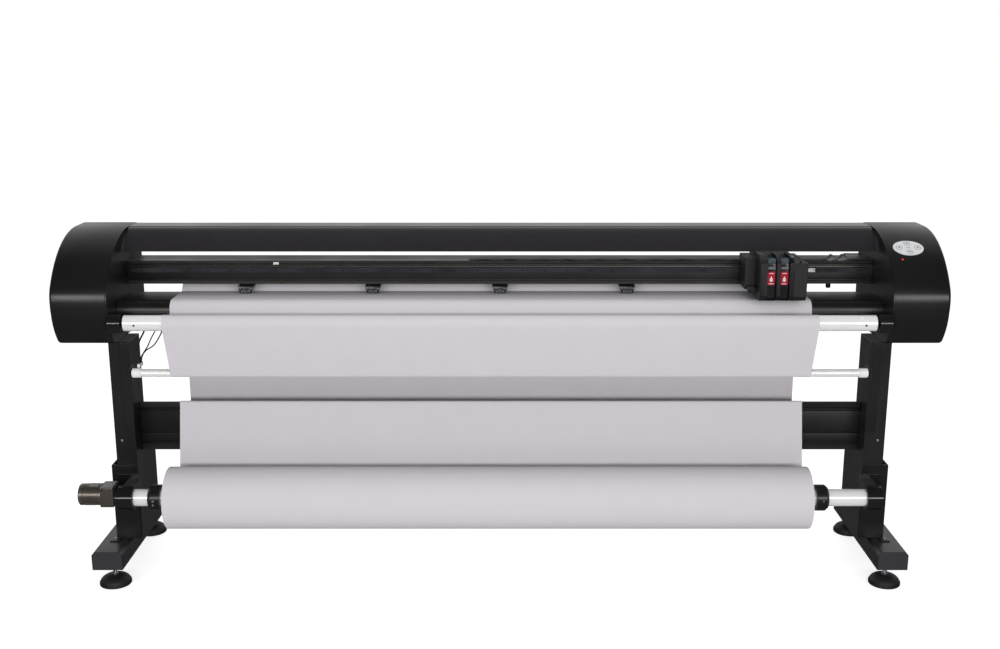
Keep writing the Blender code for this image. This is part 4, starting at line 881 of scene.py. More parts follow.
# ================================================================ the head
def head_outline():
    """Side view of the head: flat top, round crown, nose, and a face that falls back to the bottom."""
    head = settings("head")
    low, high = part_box("housing_left")
    nose_y, nose_z, crown_z = low.y, low.z + head.nose_height, high.z - head.crown_radius
    sweep = math.degrees(math.acos((nose_z + 31 * MM - crown_z) / head.crown_radius))
    corner_at = (high.y - head.rear_corner, high.z - head.rear_corner)
    corner = arc(corner_at, head.rear_corner, 0, 90, 10)
    crown = arc((head.crown_y, crown_z), head.crown_radius, 90, 90 + sweep, 30)
    nose = mm((3.3, 18), (0.5, 3), (0, -11), (1.5, -31), (6.5, -61))
    chin = mm((18.5, 39.5), (37.5, 9.5), (50, 2), (60, 0))
    face = [crown[-1]] + [(nose_y + y, nose_z + z) for y, z in nose]
    face += [(nose_y + y, low.z + z) for y, z in chin]
    return [(high.y, low.z)] + corner + crown[:-1] + smooth_path(face, 4)


def crown_frame(x, angle):
    """Axes on the crown at an angle from straight up: X along the bed, Y up the crown, Z straight out."""
    head = settings("head")
    out = Vector((0, -math.sin(angle), math.cos(angle)))
    across = Vector((1, 0, 0))
    centre = Vector((x, head.crown_y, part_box("housing_right")[1].z - head.crown_radius))
    axes = Matrix((across, out.cross(across), out)).transposed().to_4x4()
    return Matrix.Translation(centre + out * head.crown_radius) @ axes


def oval(width, depth, low, high, centre=(0, 0), sides=64):
    """Elliptical block that stands on a crown frame's origin."""
    circle = arc((0, 0), 0.5, 0, 360 - 360 / sides, sides - 1)
    return prism([(centre[0] + a * width, centre[1] + b * depth) for a, b in circle], low, high, "Z")


def moved(bm, matrix):
    """A shape carried to another frame."""
    bm.transform(matrix)
    return bm


class HousingOperator(bpy.types.Operator):
    """Moulds the two end housings, with the openings for the keypad, the lamp and the inlet"""

    bl_idname = "cutter.housings"
    bl_label = "End housings"

    def execute(self, context):
        head = settings("head")
        outline = head_outline()
        wall, turn = head.wall, head.edge_round
        for side, way in SIDES:
            low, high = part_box(f"housing_{side}")
            inner, outer = sorted((abs(low.x), abs(high.x)))
            cavity = inset(outline, wall)
            rings = [(outer - wall, inset(outline, turn)), (outer - turn, cavity), (inner, cavity)]
            rings += [(inner, inset(outline, 0.4 * MM)), (inner + 0.4 * MM, outline), (outer - turn, outline)]
            for step in range(1, 9):
                angle = math.pi / 16 * step
                ring = inset(outline, turn * (1 - math.cos(angle)))
                rings.append((outer - turn * (1 - math.sin(angle)), ring))
            shell = loft([[(way * x, y, z) for y, z in ring] for x, ring in rings])
            tools = []
            if way > 0:
                pad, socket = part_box("keypad_panel"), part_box("power_inlet")
                grow, through = 0.6 * MM, (-12 * MM, 10 * MM)
                opening = oval(KEYPAD_WIDTH + grow, KEYPAD_DEPTH + grow, *through)
                tools.append(moved(opening, crown_frame((pad[0].x + pad[1].x) / 2, KEYPAD_ANGLE)))
                hole = oval(5.4 * MM, 5.4 * MM, *through)
                tools.append(moved(hole, crown_frame(LAMP_X, LAMP_ANGLE)))
                gap = Vector((CLEAR, 0, CLEAR))
                tools.append(block(socket[0] - gap, socket[1] + gap + Vector((0, 0.01, 0))))
            piece(f"housing_{side}_shell", shell, moulded_abs(), "frame", "black_moulding",
                  (f"housing_{side}",), tools=tools, angle=50)
        return {"FINISHED"}


class LidOperator(bpy.types.Operator):
    """Presses the curved lid with its folded front edge and hinge pins, and the fixed strip behind it"""

    bl_idname = "cutter.lid"
    bl_label = "Lid"

    def execute(self, context):
        head = settings("head")
        low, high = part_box("front_cover")
        seam, front, top = high.y, low.y, high.z
        thick = head.lid_thick
        points = [(seam, top), (seam - 0.022, top - 0.0075), (front + 0.019, top - head.lid_drop * 0.60)]
        outer = smooth_path(points + [(front, top - head.lid_drop)], 12)
        inner = inset(outer + [(seam, top - head.lid_drop)], thick)[: len(outer)]
        inner[0] = (seam, top - thick)
        inner[-1] = (front + thick, top - head.lid_drop + thick)
        fold = [(front + 10 * MM, top - head.lid_drop), (front + 10 * MM, top - head.lid_drop + thick)]
        x = high.x - 6 * MM
        ends = min(x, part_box("top_strip")[1].x - 1.2 * MM)
        sheet = prism(outer + fold + inner[::-1], -ends, ends)
        piece("front_cover_sheet", sheet, enamel_painted_sheen(), "front_cover", "black_powder_coat",
              ("front_cover",), bevel=0.5 * MM, angle=50)
        hinge = (0, seam - 2.5 * MM, top - 3.75 * MM)
        pins = [turned(washer(0, 2.4 * MM, way * (ends - 14 * MM), way * high.x), hinge, sides=20)
                for _, way in SIDES]
        piece("front_cover_pins", joined(*pins), ground_steel(), "front_cover", "bright_steel")
        refined("top_strip", enamel_painted_sheen(), "frame", "black_powder_coat")
        return {"FINISHED"}


class BeamOperator(bpy.types.Operator):
    """Finishes the side plates, the carriage beam with its rail, and the cross beam of the stand"""

    bl_idname = "cutter.beams"
    bl_label = "Plates and beams"

    def execute(self, context):
        black = black_anodised_aluminium()
        for side, _ in SIDES:
            refined(f"side_plate_{side}", powder_coated_steel(), "frame", "black_powder_coat", 0.4 * MM)
        refined("main_beam", black, "frame", "black_anodised", 0.5 * MM, 3)
        refined("cross_beam", black, "frame", "black_anodised", 0.6 * MM, 3)
        refined("guide_rail", rail_steel(), "frame", "dark_rail", 0.6 * MM, 3)
        low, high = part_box("guide_rail")
        middle = (low.z + high.z) / 2
        sunk = low.y + 0.05 * MM
        start, end = (low.x + 0.030, sunk, middle), (high.x - 0.030, sunk, middle)
        screws("guide_rail_screws", start, end, 33, 3.2 * MM, 0.2 * MM, "frame", "bright_steel", "Y", -1)
        low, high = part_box("main_beam")
        front = low.y
        knob = mm((0, 1.5), (3, 1.5), (3, -2), (7, -3), (7, -12), (6, -13.5), (0, -13.5))
        spot = (KNOB_X, front + 12 * MM, low.z)
        piece("beam_knob", turned(knob, spot, "Z", 32), polished_nylon(), "frame", "black_moulding")
        rail_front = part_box("guide_rail")[0].y
        for name, x, z, y, width, height in (("left", MARKER_LEFT_X, high.z - 12 * MM, front, 0.016, 0.007),
                                             ("right", MARKER_RIGHT_X, middle, rail_front, 0.020, 0.011)):
            outline = rounded((x - width / 2, z - height / 2), (x + width / 2, z + height / 2), MM)
            face = y - 0.15 * MM
            plate = prism(outline, face, face + 0.3 * MM, "Y")
            piece(f"beam_marker_{name}", plate, keypad_overlay(), "frame", "keypad_white")
        return {"FINISHED"}


class FeedOperator(bpy.types.Operator):
    """Finishes the platen and builds the gripping roller and the five pinch rollers over it"""

    bl_idname = "cutter.feed"
    bl_label = "Platen and rollers"

    def execute(self, context):
        refined("platen", black_anodised_aluminium(), "frame", "black_anodised", 0.4 * MM)
        refined("lift_shaft", ground_steel(), "frame", "bright_steel", 0.3 * MM)
        centre, radius, low, high = axis_of("feed_roller")
        shaft = [(0, low), (5.4 * MM, low), (6 * MM, low + 0.6 * MM)]
        shaft += [(6 * MM, high - 0.6 * MM), (5.4 * MM, high), (0, high)]
        piece("feed_shaft", turned(shaft, centre), ground_steel(), "feed_roller", "bright_steel",
              ("feed_roller",))
        half = 26 * MM
        sleeve = mirrored([(5.9 * MM, -half), (radius - 0.5 * MM, -half), (radius, -half + 0.5 * MM)])
        wheels = [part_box(f"pinch_wheel_{n + 1}") for n in range(PINCH_COUNT)]
        places = [(one.x + two.x) / 2 for one, two in wheels]
        repeated("feed_sleeves", line_tree(), turned(sleeve, (0, 0, 0)), gritted_steel(), "feed_roller",
                 "grit_steel", Count=PINCH_COUNT, Start=(places[0], centre.y, centre.z),
                 End=(places[-1], centre.y, centre.z))
        for number, (x, (low, high)) in enumerate(zip(places, wheels), 1):
            axis = Vector((x, (low.y + high.y) / 2, (low.z + high.z) / 2))
            pinch_roller(number, axis, (high.z - low.z) / 2)
        return {"FINISHED"}


def pinch_roller(number, axis, radius):
    """One arm with its axle caps and spring, and its wheel: a grey tyre between two steel discs."""
    arm, wheel = f"pinch_arm_{number}", f"pinch_wheel_{number}"
    refined(arm, moulded_abs(), arm, "black_moulding", 0.8 * MM, 3)
    half, rim, reach = 10.4 * MM, 0.6 * MM, 16.5 * MM
    tyre = mirrored([(2 * MM, -half), (radius - rim, -half), (radius, -half + rim)])
    piece(f"{wheel}_tyre", turned(tyre, axis), grey_rubber(), wheel, "grey_rubber", (wheel,))
    axle = [(0, -reach), (2 * MM, -reach), (2 * MM, -12 * MM), (radius - 0.9 * MM, -12 * MM)]
    axle += [(radius - 0.5 * MM, -11.6 * MM), (radius - 0.5 * MM, -half - 0.1 * MM)]
    axle.append((2 * MM, -half - 0.1 * MM))
    piece(f"{wheel}_axle", turned(mirrored(axle), axis), ground_steel(), wheel, "bright_steel")
    cap = mm((0, 17.6), (3.2, 17.6), (3.2, 19.2), (2.4, 19.8), (0, 19.8))
    caps = [turned([(r, way * x) for r, x in cap], axis, sides=20) for _, way in SIDES]
    piece(f"{arm}_caps", joined(*caps), zinc_plated_steel(), arm, "bright_steel")
    turns, steps, wind = 7, 12, 2.6 * MM
    coil = []
    for i in range(turns * steps + 1):
        angle = 2 * math.pi * i / steps
        height = -1.5 * MM + 13 * MM * i / (turns * steps)
        across = -14 * MM + wind * math.sin(angle)
        coil.append((axis.x + wind * math.cos(angle), axis.y + across, axis.z + height))
    piece(f"{arm}_spring", tube(coil, 0.45 * MM, 6), zinc_plated_steel(), arm, "bright_steel", angle=80)


# ================================================================ the carriage
class CarriageOperator(bpy.types.Operator):
    """Finishes the carriage and adds its side cover, cable hook, link and print-head plates"""

    bl_idname = "cutter.carriage"
    bl_label = "Carriage"

    def execute(self, context):
        low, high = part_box("carriage")
        first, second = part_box("cartridge_1"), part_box("cartridge_2")
        front = low.y
        edge = second[1].x + 12 * MM
        corner = block((edge, front - 5 * MM, high.z - 18 * MM), high + Vector((5, 5, 5)) * MM)
        body, slot = "carriage", "black_moulding"
        piece("carriage_body", node_copy("carriage"), filled_nylon(), body, slot, ("carriage",), 1.2 * MM, 3,
              tools=(corner,), mends=False)
        cover = prism(rounded((edge, low.z + 12 * MM), (high.x - 2 * MM, high.z - 22 * MM), 4 * MM),
                      front - 1.2 * MM, front + MM, "Y")
        piece("carriage_side_cover", cover, filled_nylon(), body, slot, bevel=0.8 * MM, segments=3)
        bends = mm((-8, 8, -1), (4, 8, 1), (14, 9, -6), (20, 10, -16), (22, 12, -26))
        route = [(edge + x, front + y, high.z + z) for x, y, z in bends]
        rows = [[Vector(spot) + Vector((0, k * 3 * MM, 0)) for k in range(5)]
                for spot in smooth_path(route, 6)]
        piece("carriage_cable_end", slab(rows, 0.8 * MM), flat_cable_pvc(), body, "flat_cable", angle=60)
        clip = block((edge - 10 * MM, front + 6 * MM, high.z - 3 * MM),
                     (edge - 3 * MM, front + 22 * MM, high.z + MM))
        piece("carriage_cable_clip", clip, latch_plastic(), body, "case_steel", bevel=0.6 * MM)
        left = first[0].x - 12 * MM
        side = [(low.x + 3 * MM, 22), (low.x + 15 * MM, 21), (left, 3), (left, 15), (low.x + 22 * MM, 34),
                (low.x + 3 * MM, 34)]
        link = prism([(x, low.z + z * MM) for x, z in side], front + 46 * MM, front + 58 * MM, "Y")
        piece("carriage_link", link, filled_nylon(), body, slot, bevel=1.2 * MM, segments=3)
        plates = []
        for one, two in (first, second):
            plates.append(block((one.x + 3 * MM, one.y + 8 * MM, low.z - 0.6 * MM),
                                (two.x - 3 * MM, two.y - 8 * MM, low.z + 0.6 * MM)))
        piece("print_head_plates", joined(*plates), ground_steel(), body, "bright_steel", bevel=0.3 * MM)
        x, y = edge + 6 * MM, front - 1.1 * MM
        screws("carriage_cover_screws", (x, y, low.z + 20 * MM), (x, y, high.z - 30 * MM), 2, 2.2 * MM,
               0.9 * MM, body, "bright_steel", "Y", -1)
        return {"FINISHED"}


class CartridgeOperator(bpy.types.Operator):
    """Builds each ink cartridge with its label, latch and smoked top"""

    bl_idname = "cutter.cartridges"
    bl_label = "Ink cartridges"

    def execute(self, context):
        for number in (1, 2):
            node = f"cartridge_{number}"
            refined(node, cartridge_plastic(), node, "cartridge_case", 1.0 * MM, 3)
            low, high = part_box(node)
            x, front, half = (low.x + high.x) / 2, low.y, (high.x - low.x) / 2 - 1.6 * MM
            bottom = low.z + 41 * MM
            top = bottom + 38 * MM
            slot = "cartridge_case"

            def face(start, end, corner, out, sunk):
                outline = rounded((x - half, start), (x + half, end), corner)
                return prism(outline, front - out, front + sunk, "Y")

            piece(f"{node}_label", face(bottom, top, 2 * MM, 0.25 * MM, MM), label_film(), node, slot)
            ink = 0.6 * MM
            spot = upright(x, front, bottom + 14 * MM)
            drop = mm((-4.2, 3), (4.2, 3), (0, 11))
            marks = [moved(oval(8.5 * MM, 8.5 * MM, 0, ink, sides=24), spot)]
            marks.append(moved(prism(drop, 0, ink, "Z"), spot))
            for step in (0, 1):
                bar = rounded((-6.5 * MM, 0), (6.5 * MM, 1.8 * MM), 0.6 * MM, 3)
                spot = upright(x, front, bottom + (3 + 29 * step) * MM)
                marks.append(moved(prism(bar, 0, ink, "Z"), spot))
            piece(f"{node}_marks", joined(*marks), printed_white(), node, slot)
            latch = face(top + 6 * MM, top + 14 * MM, 1.5 * MM, 2.2 * MM, 3 * MM)
            piece(f"{node}_latch", latch, latch_plastic(), node, slot, bevel=0.8 * MM, segments=3)
            ribs = block((-half, -2.4 * MM, 0), (half, 2.4 * MM, 1.4 * MM))
            rib_z = high.z - 0.2 * MM
            repeated(f"{node}_ribs", line_tree(), ribs, smoked_lid(), node, slot, Count=4,
                     Start=(x, front + 10 * MM, rib_z), End=(x, front + 38 * MM, rib_z))
            window = face(high.z - 14.5 * MM, high.z - 1.2 * MM, MM, -0.6 * MM, 2.4 * MM)
            piece(f"{node}_window", window, smoked_lid(), node, slot, bevel=0.4 * MM)
        return {"FINISHED"}


def upright(x, front, z):
    """Axes on a front face: X along the bed, Y up, Z straight out, just through the label."""
    return Matrix.Translation((x, front - 0.1 * MM, z)) @ Matrix.Rotation(math.pi / 2, 4, "X")


# ================================================================ the drive
class DriveOperator(bpy.types.Operator):
    """Builds the toothed belt with its pulleys, the carriage motor and the flat cable on the beam"""

    bl_idname = "cutter.drive"
    bl_label = "Belt drive"

    def execute(self, context):
        group = settings("drive")
        low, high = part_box("carriage_belt")
        pulleys = {}
        for node in ("idler_pulley", "drive_pulley"):
            one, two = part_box(node)
            centre = Vector(((one.x + two.x) / 2, one.y, (one.z + two.z) / 2))
            radius, width = (two.x - one.x) / 2, two.y - one.y
            pulleys[node] = centre
            hub = turned(washer(3.3 * MM, radius - 1.2 * MM, 0, width), centre, "Y")
            piece(f"{node}_hub", hub, ground_steel(), node, "bright_steel", (node,))
            tooth = block((radius - 1.3 * MM, 0, -0.6 * MM), (radius - 0.1 * MM, width, 0.6 * MM))
            repeated(f"{node}_teeth", ring_tree(), tooth, ground_steel(), node, "bright_steel", Count=30,
                     Centre=centre, Axis=(0, 1, 0))
        span, middle = pulleys["drive_pulley"].x, pulleys["drive_pulley"].z
        outer = high.z - middle
        band = outer - 0.8 * MM

        def track(radius):
            return arc((span, middle), radius, -90, 90, 16) + arc((-span, middle), radius, 90, 270, 16)

        rings = [[(x, y, z) for x, z in track(r)] for y, r in
                 ((low.y, band), (low.y, outer), (high.y, outer), (high.y, band))]
        piece("carriage_belt_band", loft(rings, closed=True), belt_rubber(), "frame", "belt_rubber",
              ("carriage_belt",), angle=50)
        bm = bmesh.new()
        spots = [bm.verts.new((x, 0, z)) for x, z in track(band)]
        for i, spot in enumerate(spots):
            bm.edges.new((spot, spots[(i + 1) % len(spots)]))
        loop = helper("belt_loop", bm)
        tooth = block((-1.2 * MM, low.y, -0.1 * MM), (1.2 * MM, high.y, 0.65 * MM))
        repeated("carriage_belt_teeth", loop_tree(), tooth, belt_rubber(), "frame", "belt_rubber",
                 Loop=loop, Pitch=group.belt_pitch)
        bpy.data.objects.remove(loop)
        low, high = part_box("carriage_motor")
        near = pulleys["drive_pulley"].y + 13 * MM
        motor_body("carriage_motor", (low.x, near, low.z), high, "Y")
        axis = pulleys["drive_pulley"]
        shaft = mm((0, 0), (2.6, 0), (3, 0.4), (3, 12), (8, 12), (8, 15), (0, 15))
        piece("carriage_motor_shaft", turned(shaft, axis, "Y"), ground_steel(), "frame", "bright_steel")
        low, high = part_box("ribbon_cable")
        rows, steps = [], 240
        for i in range(steps + 1):
            x = low.x + (high.x - low.x) * i / steps
            wave = 0.5 - 0.5 * math.cos(2 * math.pi * group.cable_waves * i / steps)
            lift = sum(math.exp(-(((x - high.x + gap) / LOOP_WIDTH) ** 2)) for gap in LOOPS_FROM_END)
            z = low.z + 0.5 * MM + group.cable_rise * wave + LOOP_RISE * lift
            rows.append([Vector((x, low.y + (high.y - low.y) * k / 4, z)) for k in range(5)])
        piece("ribbon_cable_band", slab(rows, 0.8 * MM), flat_cable_pvc(), "frame", "flat_cable",
              ("ribbon_cable",), angle=60)
        return {"FINISHED"}


def motor_body(node, low, high, axis):
    """Square motor: two cast end caps round a stack of laminations."""
    first, second = ("y", "x") if axis == "X" else ("x", "y")
    low, high = Vector(low), Vector(high)
    at = {key: (getattr(low, key), getattr(high, key)) for key in ("x", "y", "z")}
    start, end = at[second]
    across, caps = at[first], 9 * MM

    def section(one, two, inwards, corner):
        lowest = (across[0] + inwards, at["z"][0] + inwards)
        highest = (across[1] - inwards, at["z"][1] - inwards)
        return prism(rounded(lowest, highest, corner), one, two, axis)

    ends = joined(section(start, start + caps, 0, 4 * MM), section(end - caps, end, 0, 4 * MM))
    piece(f"{node}_caps", ends, motor_lacquer(), "frame", "motor_metal", (node,), bevel=0.6 * MM)
    sheets = (end - start - 2 * caps) / 16
    layer = joined(section(0, sheets * 0.6, 0.8 * MM, 6 * MM))
    offset = (start + caps, end - caps - sheets * 0.6)
    ends_at = [(o, 0, 0) if axis == "X" else (0, o, 0) for o in offset]
    repeated(f"{node}_stack", line_tree(), layer, rail_steel(), "frame", "motor_metal", Count=16,
             Start=ends_at[0], End=ends_at[1])
    core = section(start + caps / 2, end - caps / 2, 1.4 * MM, 6 * MM)
    piece(f"{node}_core", core, rail_steel(), "frame", "motor_metal")


class LeadOperator(bpy.types.Operator):
    """Runs the thin leads from under the platen's left end to the leg"""

    bl_idname = "cutter.leads"
    bl_label = "Leads"

    def execute(self, context):
        leg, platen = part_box("leg_left"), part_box("platen")
        x, front, base = leg[1].x, leg[0].y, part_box("housing_left")[0].z
        apron_y, apron_z = APRON_Y, platen[0].z
        routes = {
            "sensor_lead_black": (1.8 * MM, [
                (x + 0.070, apron_y - 0.020, apron_z - 0.004), (x + 0.066, apron_y - 0.022, base + 0.020),
                (x + 0.048, front + 0.028, base - 0.010), (x + 0.020, front + 0.036, base - 0.030),
                (x + 0.007, front + 0.042, base - 0.050), (x + 0.0026, front + 0.044, base - 0.075)]),
            "limit_lead": (1.7 * MM, [
                (x + 0.052, apron_y - 0.012, apron_z + 0.012), (x + 0.050, apron_y - 0.016, apron_z - 0.010),
                (x + 0.040, front + 0.030, base + 0.008), (x + 0.026, front + 0.036, base - 0.018),
                (x + 0.008, front + 0.034, base - 0.046), (x + 0.002, front + 0.034, base - 0.072)]),
            "tube_lead": (2.4 * MM, [
                (x + 0.020, apron_y - 0.010, apron_z + 0.012), (x + 0.018, apron_y - 0.014, apron_z - 0.012),
                (x + 0.010, front + 0.022, base + 0.004), (x + 0.004, front + 0.024, base - 0.020),
                (x + 0.0026, front + 0.026, base - 0.070)]),
        }
        for name, (radius, points) in routes.items():
            replaced = ("sensor_lead",) if name == "sensor_lead_black" else ()
            piece(name, tube(smooth_path(points, 8), radius), pvc_jacket(), "frame", "lead_jacket", replaced,
                  angle=80)
        outline = rounded((front + 0.016, base - 0.074), (front + 0.052, base - 0.064), 2 * MM)
        clip = prism(outline, x - 0.2 * MM, x + 6.5 * MM)
        piece("lead_clip", clip, moulded_nylon(), "frame", "silver_tube", bevel=0.6 * MM)
        return {"FINISHED"}


# ================================================================ tubes and rolls
def tube_profile(low, high, radius, bore, edge=0.8 * MM):
    """Closed section of a straight tube with chamfered ends."""
    start = [(bore, low), (radius - edge, low), (radius, low + edge)]
    return start + [(radius, high - edge), (radius - edge, high), (bore, high)]


def axis_of(node):
    """The middle of a turned node, its radius, and the X of its ends."""
    low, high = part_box(node)
    centre = Vector((0, (low.y + high.y) / 2, (low.z + high.z) / 2))
    return centre, (high.z - low.z) / 2, low.x, high.x


class TubeOperator(bpy.types.Operator):
    """Builds the guide tube in its hubs and the tension bar with its white end caps"""

    bl_idname = "cutter.tubes"
    bl_label = "Guide tube and tension bar"

    def execute(self, context):
        silver = silver_anodised_aluminium()
        centre, radius, low, high = axis_of("upper_tube")
        piece("guide_tube", turned(tube_profile(low, high, radius, 8.4 * MM), centre, sides=72), silver,
              "upper_tube", "silver_tube", ("upper_tube",))
        reach = high - 32 * MM
        spot = (centre.y - radius + 0.3 * MM, centre.z - 2 * MM)
        screws("guide_tube_screws", (-reach, *spot), (reach, *spot), 2, 3 * MM, 0.9 * MM, "upper_tube",
               "bright_steel", "Y", -1)
        for side, _ in SIDES:
            refined(f"upper_bracket_{side}", polished_nylon(), "frame", "black_moulding", 1.2 * MM, 3)
        centre, radius, low, high = axis_of("tension_bar")
        cap = 25 * MM
        bar = tube_profile(low + cap - MM, high - cap + MM, BAR_RADIUS, 8 * MM)
        piece("tension_bar_tube", turned(bar, centre), silver, "tension_bar", "silver_tube", ("tension_bar",))
        for side, way in SIDES:
            ends = sorted((way * high, way * (high - cap)))
            body = tube_profile(*ends, radius, 4.4 * MM, 1.6 * MM)
            piece(f"tension_bar_cap_{side}", turned(body, centre), moulded_nylon(), "tension_bar",
                  "silver_tube")
        return {"FINISHED"}


class TakeupOperator(bpy.types.Operator):
    """Builds the take-up roll on its tube, with its collars, hubs and geared motor"""

    bl_idname = "cutter.takeup"
    bl_label = "Take-up roll"

    def execute(self, context):
        body = "takeup_roll"
        centre, radius, low, high = axis_of("lower_tube")
        stub = 40.6 * MM
        profile = [(3 * MM, low), (7.4 * MM, low), (8 * MM, low + 0.6 * MM), (8 * MM, low + stub)]
        profile += [(radius - MM, low + stub), (radius, low + stub + MM)]
        tube_shape = turned(mirrored(profile, high + low), centre, sides=72)
        piece("takeup_tube", tube_shape, silver_anodised_aluminium(), body, "silver_tube", ("lower_tube",))
        centre, radius, low, high = axis_of("paper_roll")
        layers = settings("web").layers
        steps = []
        for i in range(layers + 1):
            drift = 0.5 + 0.3 * math.sin(i * 2.4) + 0.2 * math.sin(i * 0.7 + 1)
            steps.append((TUBE_GRIP + (radius - TUBE_GRIP) * i / layers, 1.1 * MM * drift))
        steps.append((radius, 2.2 * MM))
        profile = [(r, low + x) for r, x in steps] + [(r, high - x) for r, x in steps[::-1]]
        piece("paper_roll_wound", turned(profile, centre, sides=96), plotting_paper(), body, "white_paper",
              ("paper_roll",), angle=75)
        for side, way in SIDES:
            node = f"roll_collar_{side}"
            centre, radius, one, two = axis_of(node)
            near, far = (one, two) if way > 0 else (two, one)
            profile = [(TUBE_GRIP, near), (radius - MM, near), (radius, near + way * MM)]
            profile += [(radius, far - way * 7 * MM), (radius - 6 * MM, far), (TUBE_GRIP, far)]
            piece(f"{node}_ring", turned(profile, centre, sides=60), moulded_abs(), body, "black_moulding",
                  (node,))
            ridge = block((near + way * 2 * MM, -0.8 * MM, radius - 0.4 * MM),
                          (far - way * 8 * MM, 0.8 * MM, radius + 0.3 * MM))
            repeated(f"{node}_grip", ring_tree(), ridge, moulded_abs(), body, "black_moulding", Count=40,
                     Centre=centre, Axis=(1, 0, 0))
            middle = (one + two) / 2
            screws(f"{node}_screws", (middle, centre.y - radius + 0.2 * MM, centre.z + 2 * MM),
                   (middle, centre.y - radius + 1.4 * MM, centre.z - 10 * MM), 2 if way < 0 else 1, 3 * MM,
                   1.6 * MM, body, "bright_steel", "Y", -1, zinc_plated_steel())
            refined(f"lower_bracket_{side}", polished_nylon(), "frame", "black_moulding", 1.2 * MM, 3)
        takeup_drive()
        return {"FINISHED"}


def takeup_drive():
    """Round motor with end rings, and the square gearbox with its lighter top plate."""
    centre, can, end, near = axis_of("takeup_motor")
    half, long, adapter = 29 * MM, 46 * MM, 9 * MM
    split, face = near - long, near - adapter
    hub = turned(washer(0, 24 * MM, face - MM, near), axis_of("lower_tube")[0])
    piece("takeup_motor_adapter", hub, polished_nylon(), "frame", "black_moulding")
    outline = rounded((centre.y - half, centre.z - half), (centre.y + half, centre.z + half), 3 * MM)
    piece("takeup_gearbox", prism(outline, split, face), motor_lacquer(), "frame", "motor_metal",
          ("takeup_motor",), bevel=0.8 * MM, segments=3)
    profile = [(0, end), (17 * MM, end), (19 * MM, end + 2 * MM), (can - 3 * MM, end + 2 * MM)]
    profile += [(can - MM, end + 4 * MM), (can - MM, end + 14 * MM), (can - 2.2 * MM, end + 14.6 * MM)]
    profile += [(can - 2.2 * MM, end + 16 * MM), (can - 0.6 * MM, end + 16.6 * MM)]
    profile += [(can - 0.6 * MM, split - 4 * MM), (can, split - 3.5 * MM), (can, split + MM), (0, split + MM)]
    piece("takeup_motor_can", turned(profile, centre, sides=72), motor_lacquer(), "frame", "motor_metal")
    plate = block((split + 3 * MM, centre.y - half + 4 * MM, centre.z + half - MM),
                  (face - 2 * MM, centre.y + half - 4 * MM, centre.z + half + 1.2 * MM))
    piece("takeup_gearbox_plate", plate, latch_plastic(), "frame", "motor_metal", bevel=0.5 * MM)
    tag = block((end + 32 * MM, centre.y - 14 * MM, centre.z + can - 5 * MM),
                (split - 6 * MM, centre.y + 6 * MM, centre.z + can + 0.4 * MM))
    piece("takeup_motor_cover", tag, latch_plastic(), "frame", "motor_metal", bevel=MM)
    rod = block((0, -1.6 * MM, can - 2.4 * MM), (split - end - 22 * MM, 1.6 * MM, can - 0.2 * MM))
    rod = moved(rod, Matrix.Rotation(math.pi / 4, 4, "X"))
    repeated("takeup_motor_rods", ring_tree(), rod, zinc_plated_steel(), "frame", "bright_steel", Count=4,
             Centre=(end + 17 * MM, centre.y, centre.z), Axis=(1, 0, 0))
    spot = (centre.y - half + 0.2 * MM, centre.z + half - 6 * MM)
    screws("takeup_gearbox_screws", (split + 7 * MM, *spot), (face - 7 * MM, *spot), 2, 2.4 * MM, 1.4 * MM,
           "frame", "motor_metal", "Y", -1)


# ================================================================ the paper web
def web_rows(sections, left, right):
    """The middle of a web: its side view, cut into stretches that are held or slack, carried across the bed.

    A slack stretch waves softly, the most half-way between the edges that hold it.
    """
    group = settings("web")
    spots = []
    for points, slack in sections:
        lengths = [0]
        for a, b in zip(points, points[1:]):
            lengths.append(lengths[-1] + math.dist(a, b))
        for i, (a, b) in enumerate(zip(points, points[1:])):
            count = max(1, round(math.dist(a, b) / (8 * MM)))
            for k in range(count):
                share = (lengths[i] + (lengths[i + 1] - lengths[i]) * k / count) / lengths[-1]
                spots.append((Vector(a).lerp(Vector(b), k / count), slack * math.sin(math.pi * share)))
    spots.append((Vector(sections[-1][0][-1]), 0))
    rows, run = [], 0
    for i, (spot, slack) in enumerate(spots):
        before, after = spots[max(i - 1, 0)][0], spots[min(i + 1, len(spots) - 1)][0]
        along = (after - before).normalized()
        run += (spot - before).length
        row = []
        for k in range(group.columns + 1):
            x = left + (right - left) * k / group.columns
            wave = 0.5 * math.sin(7.0 * x + 1.3) + 0.3 * math.sin(17 * x + 6 * run)
            rise = group.ripple * slack * (wave + 0.2 * math.sin(31 * x - 9 * run))
            row.append(Vector((x, spot.x - along.y * rise, spot.y + along.x * rise)))
        rows.append(row)
    return rows, run


def front_web():
    """Side view of the web over the platen and apron, over the guide tube and round the tension bar."""
    lift = CLEAR + settings("web").paper / 2
    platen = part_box("platen")
    top, edge, apron = platen[1].z, APRON_Y, APRON_RADIUS
    sheet_z = top + CLEAR + lift
    tube_at, tube_radius = axis_of("upper_tube")[:2]
    bar_at = axis_of("tension_bar")[0]
    flat = [(platen[1].y + 2 * MM, sheet_z), (edge + 4 * MM, sheet_z)]
    bend = arc((edge, top - apron), apron + CLEAR + lift, 93, 170, 14)
    over = arc((tube_at.y, tube_at.z), tube_radius + lift, 35, 196, 26)
    last = bend[-1]
    dip = [last, (last[0] - 3 * MM, last[1] - 12 * MM)]
    dip += [((last[0] + over[0][0]) / 2 + 3 * MM, over[0][1] - 20 * MM), over[0]]
    round_bar = arc((bar_at.y, bar_at.z), BAR_RADIUS + lift, 200, 335, 16)
    hanging = [over[-1], round_bar[0]]
    return [(flat + bend, 0), (smooth_path(dip, 8), 0.5), (over, 0), (hanging, 1), (round_bar, 0)]


